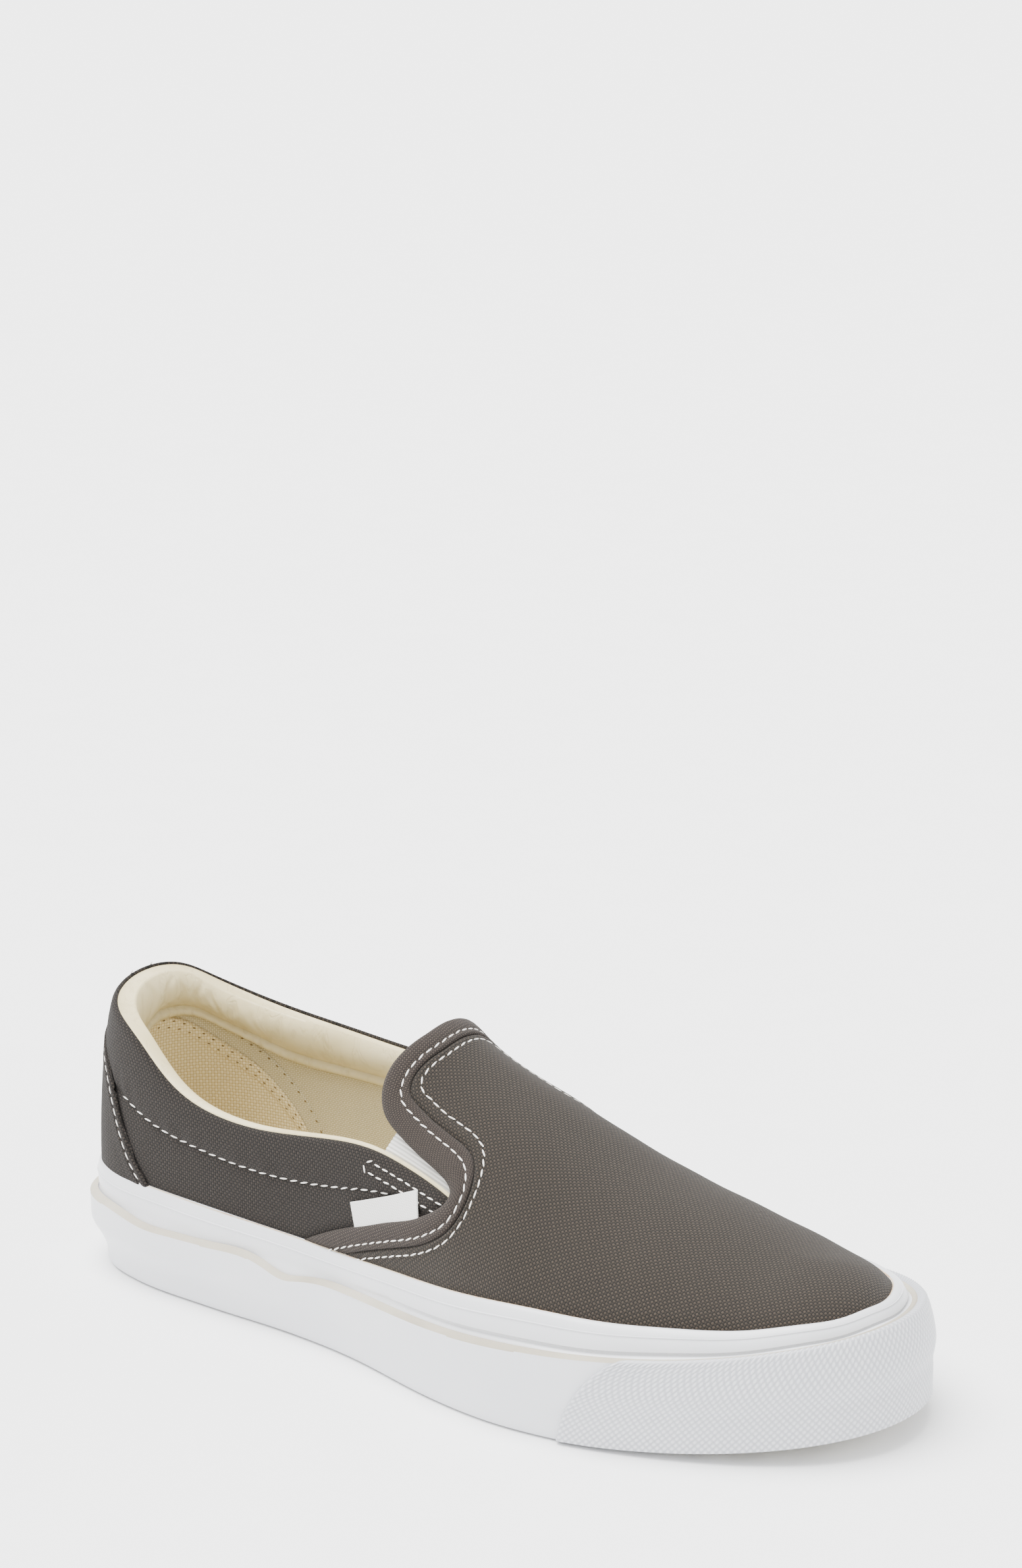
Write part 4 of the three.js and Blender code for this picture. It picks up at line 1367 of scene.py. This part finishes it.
# Gore box: two short rows of thread and a bar that hold the elastic behind the quarter, below
# the opening's front corner.
gore_box = [
    # along, up in shares of instep_height, for each corner of the box
    (0.556, 0.6), (0.45, 0.665), (0.454, 0.695), (0.562, 0.625),
]
box_lift = 0.12 * MM
gore_paths = []
for side in (-1, 1):
    corners = side_points(gore_box, instep_height)
    at = np.linspace(0, len(corners) - 1, 90)
    line = np.stack([np.interp(at, np.arange(len(corners)), corners[:, i]) for i in (0, 1)], -1)
    angles, rises = find_on_last(line[:, 0], line[:, 1], side)
    gore_paths.append(seam_path(angles, rises, quarter_out(angles, rises) + box_lift))
sew("gore_stitches", gore_paths, pitch=3.0 * MM, length=2.4 * MM, slant=0.05)


# Heel counter: a folded canvas panel over the back of the heel, its edge turned under and
# sewn down with one row of white thread.
counter_rows = [
    # along, up
    (0.17, 0.28), (0.15, 0.37), (0.127, 0.45), (0.1, 0.6), (0.072, 0.75), (0.045, 0.83), (-0.05, 0.86),
]
counter_out = 1.35 * MM
counter_lip = 0.05 * MM
counter_fold = 0.9 * MM
counter_seam = 2.4 * MM
counter_thickness = 0.3 * MM
counter_front = 0.163
groove_depth = 0.35 * MM
groove_reach = 0.5 * MM
panel_sink = 0.25 * MM
sink_from = 3.2 * MM
sink_run = 3 * MM
seam_back = 0.03
seam_low = 26 * MM
seam_sink = 0.3 * MM
counter_columns = 170
counter_row_count = 60
counter_curve, counter_normal = side_curve(counter_rows, collar_height)
order = np.argsort(counter_curve[:, 0])


def counter_line(p):
    return np.interp(p[..., 0], counter_curve[order, 0], counter_curve[order, 1])


_, counter_rounds = round_heel(float(angle_at(counter_front)), counter_columns)
base = foot_rise(counter_rounds)
edge = np.maximum(rise_where(counter_rounds, counter_line), base + 0.002)
up = 1 - (1 - np.linspace(0, 1, counter_row_count)[:, None]) ** 1.8
counter_rises = base + up * (edge - base)
flat = bare_last(counter_rounds + 0 * counter_rises, counter_rises)
gaps = flat[..., None, [0, 2]] - counter_curve[None, None, ::4]
from_edge = np.sqrt((gaps**2).sum(-1)).min(-1)
fold_round = np.sqrt(np.clip(1 - (1 - np.clip(from_edge / counter_fold, 0, 1)) ** 2, 0, 1))
counter_raise = counter_lip + (counter_out - counter_lip) * fold_round
counter_raise -= groove_depth * bump_of(from_edge, counter_seam, groove_reach)
counter_raise -= panel_sink * np.clip((from_edge - sink_from) / sink_run, 0, 1)
counter_points = skin(counter_rounds + 0 * counter_rises, counter_rises, counter_raise)
counter_uv = cloth_map(counter_rounds, counter_points)
counter_mesh = grid_mesh("heel_counter_panel", counter_points + offset, counter_uv, smooth_angle=60)
counter = add_piece("heel_counter_panel", counter_mesh, [canvas], ["heel_counter"])
give_thickness(counter, counter_thickness)

line = counter_curve[8:-60] + counter_normal[8:-60] * counter_seam
target = line[(line[:, 0] > x_at(seam_back)) & (line[:, 1] > seam_low)]
nearest = np.full(len(target), 0.02)
furthest = np.full(len(target), math.pi / 2)


def counter_row_rise(turned):
    return rise_where(turned, lambda p: target[:, 1])


counter_paths = []
for side in (-1, 1):

    def is_behind(angle):
        turned = on_side(angle, side)
        return bare_last(turned, counter_row_rise(turned))[..., 0] < target[:, 0]

    turned = on_side(halved(nearest, furthest, is_behind, steps=24), side)
    counter_paths.append(seam_path(turned, counter_row_rise(turned), counter_out - seam_sink))
sew("counter_stitches", counter_paths, pitch=3.3 * MM, length=2.7 * MM)


# Collar padding: foam under a soft cream leather that wraps over the collar's edge and down
# the inside, thickest at the heel, with a seam and a small folded band along its foot. It thins
# to a plain roll beside the gores. The creases at the heel are listed one by one.
pad_front = 0.562
pad_columns = 520
near_lip_share = 0.45
far_lip_share = -0.6
lip_change = 25 * MM
pad_profile = [
    # down from the collar's edge, depth behind the canvas at full thickness
    (29.0 * MM, 2.2 * MM), (24.0 * MM, 1.9 * MM), (14.0 * MM, 1.7 * MM), (5.0 * MM, 1.3 * MM),
    (1.2 * MM, 0.95 * MM), (-0.2 * MM, 0.85 * MM), (-1.2 * MM, 1.2 * MM), (-1.9 * MM, 2.2 * MM),
    (-1.9 * MM, 3.7 * MM), (-0.9 * MM, 5.6 * MM), (1.6 * MM, 7.3 * MM), (5.5 * MM, 8.5 * MM),
    (10.5 * MM, 8.8 * MM), (16.0 * MM, 7.8 * MM), (20.5 * MM, 5.8 * MM), (22.8 * MM, 4.2 * MM),
    (23.6 * MM, 3.6 * MM), (24.4 * MM, 4.2 * MM), (26.4 * MM, 4.9 * MM), (28.4 * MM, 4.4 * MM),
    (29.4 * MM, 3.2 * MM),
]
pad_seam = 23.6 * MM
pad_thin_rows = [
    # along, thickness share, share of the pad's reach down to the collar's stitch line
    (-0.02, 1.0, 1.0), (0.08, 0.98, 1.0), (0.2, 0.8, 1.0), (0.32, 0.66, 1.0), (0.42, 0.55, 0.95),
    (0.47, 0.38, 0.6), (0.51, 0.22, 0.35), (0.57, 0.18, 0.3),
]
heel_creases = [
    # place along the ring from the back seam (inner side positive), slant, top, foot, depth
    (-26 * MM, 0.25, 0.15, 0.7, 0.3 * MM), (-17 * MM, 0.2, 0.05, 0.62, 0.25 * MM),
    (-9 * MM, -0.1, 0.1, 0.9, 0.3 * MM), (-3 * MM, 0.12, 0.02, 0.72, 0.4 * MM),
    (4 * MM, -0.18, 0.1, 0.95, 0.55 * MM), (9 * MM, 0.1, 0.2, 0.98, 0.35 * MM),
    (15 * MM, -0.15, 0.05, 0.85, 0.45 * MM), (21 * MM, 0.22, 0.12, 0.9, 0.3 * MM),
    (27 * MM, -0.1, 0.08, 0.65, 0.35 * MM), (34 * MM, 0.2, 0.15, 0.95, 0.25 * MM),
    (42 * MM, -0.2, 0.1, 0.7, 0.2 * MM), (58 * MM, 0.3, 0.2, 0.8, 0.18 * MM),
]
crease_width = 1.1 * MM
crease_lean = 20 * MM
crease_sway = 0.5 * MM
swell_rows = [
    # share of the crease's depth, place beside it, width
    (0.55, 1.9 * MM, 1.5 * MM), (0.45, -2.0 * MM, 1.6 * MM),
]
lip_blend = 8 * MM
thinnest = 0.9 * MM
face_from = 2.4 * MM
face_run = 1.2 * MM
face_height = 23 * MM
band_depth = 0.25 * MM
band_down = 26.4 * MM
band_reach = 2 * MM
soft_depth = 0.15 * MM

thin_share, reach_share = columns(pad_thin_rows)
pad_turns, pad_rounds = round_heel(float(angle_at(pad_front)), pad_columns)
pad_along = along_at(pad_rounds)
ring_run = run_length(skin(pad_rounds, 0 * pad_rounds + 0.6), 0)
ring_run = ring_run - np.interp(0.0, pad_turns, ring_run)
near_here = 1 / (1 + np.exp((ring_run + lip_change) / lip_blend))
lip_here = far_lip_share + (near_lip_share - far_lip_share) * near_here
profile = np.array(pad_profile)
closed = np.concatenate([profile, profile[:1]])
knots = run_length(closed, 0)
at = np.linspace(0, knots[-1], 78, endpoint=False)
profile = np.stack([smooth_curve(knots[:-1], profile[:, i], knots[-1])(at) for i in (0, 1)], 1)
seam_rise = rise_where(pad_rounds, stitch_line)
rim_rise = rise_where(pad_rounds, collar_line)
seam_drop = (bare_last(pad_rounds, rim_rise) - bare_last(pad_rounds, seam_rise))[..., 2]
pad_reach = np.clip(seam_drop / pad_seam, 0.3, 1.0) * reach_share(pad_along)
pad_rows = []
for down, depth in profile:
    reach = np.where(down > 0, down * pad_reach, down * lip_here)
    rise = rise_where(pad_rounds, lambda p: collar_line(p) - reach)
    inner = np.clip((depth - face_from) / face_run, 0, 1)
    share = np.clip(down / face_height, 0, 1)
    thin = thinnest + (depth - thinnest) * thin_share(pad_along)
    fold = np.zeros(pad_columns)
    for place, slant, top, foot, crease in heel_creases:
        sway = crease_sway * math.sin(9 * share + place * 400)
        centre = place + slant * (share - 0.4) * crease_lean + sway
        there = np.clip((share - top) / 0.15, 0, 1) * np.clip((foot - share) / 0.2, 0, 1)
        gap = ring_run - centre
        swelling = sum(part * bump_of(gap, beside, width) for part, beside, width in swell_rows)
        fold += crease * there * (bump_of(gap, 0, crease_width) - swelling)
    gathers = np.sin(ring_run * 2100 + 3 * np.sin(ring_run * 130))
    band = band_depth * gathers * bump_of(down, band_down, band_reach)
    soft = soft_depth * np.sin(ring_run * 160 + 5 * share) * np.sin(math.pi * share)
    pad_rows.append(skin(pad_rounds, rise, -thin + inner * (fold - band - soft)))
pad_points = np.stack(pad_rows, 0)


def leather_material():
    """Soft cream lining leather: fine grain, hair-fine wrinkles, a little darker along the wrinkle lines.
    """
    made, tree, shader, place = new_material("cream_leather")
    cloud = noise(tree, place, 45.0, 3.0)
    base = mix_colours(tree, spread_of(tree, cloud, 0.35, 0.7), colour(0xDACDA2), colour(0xCDBE8E))
    stretch = node(tree, "ShaderNodeMapping", {"Vector": place, "Scale": (1.0, 1.0, 0.28)}).outputs[0]
    lines = noise(tree, stretch, 520.0, 4.0, 0.65)
    wrinkle = node(tree, "ShaderNodeTexNoise", {
        "Vector": stretch, "Scale": 210.0, "Detail": 3.0, "Distortion": 1.5,
    }).outputs["Fac"]
    fine = spread_of(tree, wrinkle, 0.52, 0.6)
    ridge_line = math_node(tree, "MULTIPLY", fine, spread_of(tree, wrinkle, 0.6, 0.68, 1.0, 0.0))
    base = mix_colours(tree, math_node(tree, "MULTIPLY", ridge_line, 0.16), base, colour(0xA8966A))
    gloss = spread_of(tree, lines, 0.3, 0.7, 0.42, 0.6)
    feed(tree, shader, {"Base Color": base, "Roughness": gloss})
    total = math_node(tree, "ADD", lines, math_node(tree, "MULTIPLY", ridge_line, -1.2))
    set_bump(tree, shader, total, 0.12 * MM, 0.55)
    return made


cream_leather = leather_material()
pad_mesh = grid_mesh("collar_pad", (pad_points + offset).transpose(1, 0, 2), around=True, smooth_angle=80)
work = bmesh.new()
work.from_mesh(pad_mesh)
bmesh.ops.holes_fill(work, edges=[edge for edge in work.edges if edge.is_boundary])
bmesh.ops.recalc_face_normals(work, faces=work.faces)
work.to_mesh(pad_mesh)
work.free()
pad = add_piece("collar_pad", pad_mesh, [cream_leather], ["collar_padding"])


# Linings: cream cotton canvas inside the quarters and the vamp. A yellower patch with a bound
# edge lies over the heel on a backing strip. Two rows of needle holes hold the patch, and one row
# holds the strip; the holes are small marks in painted shade.
lining_depth = 1.75 * MM
lining_thickness = 0.35 * MM
lining_start = 3 * MM
patch_depth = 2.45 * MM
patch_thickness = 0.3 * MM
patch_front = 0.2
strip_front = 0.225
strip_depth = lining_depth + 0.25 * MM
least_rise = 0.003
lining_drop = 3 * MM
vamp_lining_depth = 0.9 * MM
edge_round = 0.5 * MM
tape_raise = 0.4 * MM
hole_drops = [1.4 * MM, 3.8 * MM]
strip_hole_drop = 1.0 * MM
hole_reach = 0.35 * MM
hole_dip = 0.22 * MM
hole_depth = patch_depth + 0.25 * MM
strip_hole_depth = strip_depth + 0.05 * MM
tape_width = 5.2 * MM
strip_beside = 3.84 * MM
patch_rows = [
    # along, up in shares of collar_height
    (0.0, 0.81), (0.034, 0.79), (0.056, 0.73), (0.085, 0.66), (0.121, 0.583), (0.151, 0.49),
    (0.172, 0.4), (0.19, 0.28),
]
lining_canvas = woven_material(
    "lining_canvas", 0xDCD0AC, 0xD2C5A0, 0xA89B74, pitch=0.62 * MM, depth=0.1 * MM,
    mottle=0.2, fuzz=0.2,
)
patch_canvas = woven_material(
    "patch_canvas", 0xF0E0B4, 0xE8D6A6, 0xC4AE7A, pitch=0.95 * MM, depth=0.14 * MM,
    mottle=0.2, fuzz=0.2,
)


def lining_foot(rounds):
    """Rise of a lining's lower edge, a little above the footbed's seat."""
    return rise_where(rounds, lambda p: feather_top(along_at(rounds)) + lining_start)


def lining_panel(name, rounds, rises, depth, cloth, thickness, smooth_angle=50):
    """Lining round the heel, at a depth inside the last's surface."""
    points = skin(rounds + 0 * rises, rises, -depth)
    uv = cloth_map(rounds, points)
    mesh = grid_mesh(name, points + offset, uv, smooth_angle=smooth_angle, inward=True)
    give_thickness(add_piece(name, mesh, [cloth]), thickness)


side_base = lining_foot(quarter_rounds)
lining_top = rise_where(quarter_rounds, lambda p: collar_line(p, lining_drop))
lining_rises = side_base + np.linspace(0, 1, 40)[:, None] * (lining_top - side_base)
lining_panel(
    "quarter_lining", quarter_rounds, lining_rises, lining_depth, lining_canvas, lining_thickness,
)

vamp_lining_points = skin(vamp_angles, vamp_rises, -vamp_lining_depth)
vamp_lining_mesh = grid_mesh("vamp_lining", vamp_lining_points + offset, vamp_uv, inward=True)
vamp_lining = add_piece("vamp_lining", vamp_lining_mesh, [lining_canvas])
give_thickness(vamp_lining, lining_thickness)

patch_along, patch_up = np.array(patch_rows).T
patch_top = smooth_curve(patch_along, patch_up)


def patch_line(p, drop=0.0):
    """Edge of the patch, or a line at a drop below it."""
    along = np.clip(p[..., 0] / shoe_length + 0.5, 0, patch_front)
    return patch_top(along) * collar_height - drop


def strip_line(p, drop=0.0):
    """Edge of the backing strip, which stands out round the patch."""
    along = np.clip((p[..., 0] - strip_beside) / shoe_length + 0.5, 0, patch_front)
    return patch_top(along) * collar_height + strip_beside - drop


_, strip_rounds = round_heel(float(angle_at(strip_front)), 240)
strip_base = lining_foot(strip_rounds)
strip_edge = np.maximum(rise_where(strip_rounds, strip_line), strip_base + least_rise)
strip_rises = strip_base + np.linspace(0, 1, 30)[:, None] * (strip_edge - strip_base)
lining_panel("heel_strip", strip_rounds, strip_rises, strip_depth, lining_canvas, patch_thickness)

_, patch_rounds = round_heel(float(angle_at(patch_front)), 260)
patch_base = lining_foot(patch_rounds)
patch_edge = np.maximum(rise_where(patch_rounds, patch_line), patch_base + least_rise)
patch_rises = patch_base + np.linspace(0, 1, 70)[:, None] * (patch_edge - patch_base)
flat = bare_last(patch_rounds + 0 * patch_rises, patch_rises)
below = patch_line(flat) - flat[..., 2]
on_tape = np.clip((tape_width - below) / edge_round, 0, 1)
rounded = np.clip(below / edge_round, 0, 1)
rows = sum(bump_of(below, drop, hole_reach) for drop in hole_drops)
patch_out = patch_depth - patch_thickness - hole_dip * rows
patch_out += (patch_thickness + tape_raise * on_tape) * rounded
lining_panel("heel_patch", patch_rounds, patch_rises, patch_out, patch_canvas, patch_thickness, 60)

# Needle holes: small dark brown marks of painted shade, standing for the shade inside each hole.
hole_shade_material, tree, shader, place = new_material("needle_hole_shade")
shade = noise(tree, place, 800.0)
tone = mix_colours(tree, shade, colour(0x6A5A3A), colour(0x8C7A52))
feed(tree, shader, {"Base Color": tone, "Roughness": 0.9})
hole_paths = []
for drop in hole_drops:
    rises = rise_where(patch_rounds, lambda p: patch_line(p, drop))
    hole_paths.append(seam_path(patch_rounds, rises, -hole_depth, facing=-1.0))
rises = rise_where(strip_rounds, lambda p: strip_line(p, strip_hole_drop))
hole_paths.append(seam_path(strip_rounds, rises, -strip_hole_depth, facing=-1.0))
sew(
    "patch_hole_shade", hole_paths, pitch=3.4 * MM, length=1.0 * MM,
    thread=hole_shade_material, slant=0.4,
)


# Insole: a thin foam footbed with a cloth top, its edge turned up a little at the heel, glued
# in on the midsole.
insole_thickness = 4 * MM
bed_thickness = 3.2 * MM
bed_inset = 2.2 * MM
bed_hollow = 1.6 * MM
half_ring = np.linspace(0, math.pi, 120)
bed = feather_top(along_at(half_ring)) + insole_thickness
bed_edges = []
for side in (-1, 1):
    turned = on_side(half_ring, side)
    bed_edges.append(skin(turned, rise_where(turned, lambda p: bed), -bed_inset))
outer_edge, inner_edge = bed_edges
t = np.linspace(0, 1, 40)[:, None, None]
bed_points = outer_edge + t * (inner_edge - outer_edge)
across_share = 1 - np.abs(2 * t[..., 0] - 1)
heel_share = np.clip((0.3 - along_at(half_ring)) / 0.3, 0, 1)
bed_points[..., 2] = bed - bed_hollow * (1 - (1 - across_share) ** 4) * (0.35 + 0.65 * heel_share)
bed_mesh = grid_mesh("footbed", bed_points + offset, bed_points[..., :2], inward=True)
bed_cloth = woven_material(
    "footbed_cloth", 0xDDD3B4, 0xD1C6A6, 0x9C8F6E, pitch=0.7 * MM, depth=0.08 * MM,
    mottle=0.25, fuzz=0.2,
)
footbed = add_piece("footbed", bed_mesh, [bed_cloth], ["insole"])
give_thickness(footbed, bed_thickness)


# Gores: white ribbed elastic behind the opening's front corners, sewn to the inside of the
# quarter and of the vamp so that the throat can stretch.
gore_corners = [
    # along, up in shares of instep_height: free edge foot and top, then the front
    (0.452, 0.655), (0.4755, 0.81), (0.6, 0.69), (0.578, 0.575),
]
gore_depth = 2.2 * MM
gore_thickness = 0.7 * MM
rib_pitch = 1.15 * MM
rib_depth = 0.3 * MM
elastic, tree, shader, place = new_material("white_elastic")
soft = noise(tree, place, 120.0, 3.0)
base = mix_colours(tree, spread_of(tree, soft, 0.3, 0.7), colour(0xE9E8E4), colour(0xDCDAD3))
feed(tree, shader, {"Base Color": base, "Roughness": 0.75, "Sheen Weight": 0.15})
stretch = node(tree, "ShaderNodeMapping", {"Vector": place, "Scale": (3.0, 3.0, 1.0)}).outputs[0]
set_bump(tree, shader, noise(tree, stretch, 900.0, 3.0), 0.08 * MM, 0.6)
# Painted shade in the hollows between the elastic's ribs.
paint_groove_shade(elastic, 0xB4B2AC, 0.0, 0.7)
rib_tree = emboss_tree("woven_ribs", False)
for side, name, cad_name in ((-1, "gore_outer", "gore_lateral"), (1, "gore_inner", "gore_medial")):
    corners = side_points(gore_corners, instep_height)
    s = np.linspace(0, 1, 36)[:, None, None]
    t = np.linspace(0, 1, 120)[None, :, None]
    free = corners[0] + t * (corners[1] - corners[0])
    fixed = corners[3] + t * (corners[2] - corners[3])
    place_2d = free + s * (fixed - free)
    angles, rises = find_on_last(place_2d[..., 0], place_2d[..., 1], side)
    points, facing = seam_path(angles, rises, -gore_depth)
    across_run = run_length(points, 1)
    gore_base = bare_grid(name + "_base", points + offset)
    keep_vectors(gore_base, "facing", facing)
    place = np.stack([0 * across_run, across_run, 0 * across_run + 1], -1)
    keep_vectors(gore_base, "place", place)
    sizes = {"Pitch": rib_pitch, "Depth": rib_depth, "Width": 0.5, "Finish": elastic}
    gore_mesh = grown_mesh(name, gore_base, rib_tree, sizes)
    finish_mesh(gore_mesh, smooth_angle=80)
    gore = add_piece(name, gore_mesh, [elastic], [cad_name])
    give_thickness(gore, gore_thickness)


# Side tag: a small woven label folded in half and caught under the vamp's folded edge on the
# outer side. It is bare.
tag_start = (0.4435, 0.482)
tag_slope = 0.34
tag_length = 26 * MM
tag_height = 8 * MM
tag_out = 0.75 * MM
tag_lift = 0.7 * MM
tag_wave = 0.12 * MM
tag_hidden = 1.4 * MM
tag_thickness = 0.55 * MM
run = np.array([1, tag_slope]) / math.hypot(1, tag_slope)
up_run = np.array([-run[1], run[0]])
s = np.linspace(0, 1, 60)[:, None, None]
t = np.linspace(0, 1, 22)[None, :, None]
start = side_points([tag_start], instep_height)[0] - tag_hidden * up_run
tag_2d = start + s * tag_length * run + t * tag_height * up_run
angles, rises = find_on_last(tag_2d[..., 0], tag_2d[..., 1], -1)
s, t = np.broadcast_arrays(s[..., 0], t[..., 0])
lift = tag_lift * t * (0.25 + 0.75 * s**2) + tag_wave * np.sin(9 * s)
tag_points = skin(angles, rises, tag_out + lift)
tag_uv = np.stack([s * tag_length, t * tag_height], -1)
tag_cloth = woven_material(
    "label_cloth", 0xF1F0EE, 0xE7E6E3, 0xBDBBB6, pitch=0.4 * MM, depth=0.05 * MM,
    mottle=0.1, fuzz=0.1,
)
tag_mesh = grid_mesh("bare_tag", tag_points + offset, tag_uv)
tag = add_piece("bare_tag", tag_mesh, [tag_cloth], ["side_tag"])
give_thickness(tag, tag_thickness)


# Back seam: two short rows of white thread beside the seam that joins the quarters at the
# heel, from the counter's top edge over the collar's rim.
seam_gap = 4.2 * MM
seam_foot = 71 * MM
seam_head = 86 * MM
rim_drop = 0.4 * MM
seam_lift = 0.1 * MM
heights = np.linspace(seam_foot, seam_head, 60)


def back_row_rise(turned):
    return rise_where(turned, lambda p: np.minimum(heights, collar_line(p) - rim_drop))


seam_paths = []
for side in (-1, 1):

    def is_narrow(angle):
        turned = on_side(angle, side)
        return np.abs(bare_last(turned, back_row_rise(turned))[..., 1]) < seam_gap

    turned = on_side(halved(np.zeros(60), np.full(60, 1.2), is_narrow, steps=24), side)
    rises = back_row_rise(turned)
    seam_paths.append(seam_path(turned, rises, quarter_out(turned, rises) + seam_lift))
sew("back_seam_stitches", seam_paths, pitch=3.2 * MM, length=2.6 * MM)
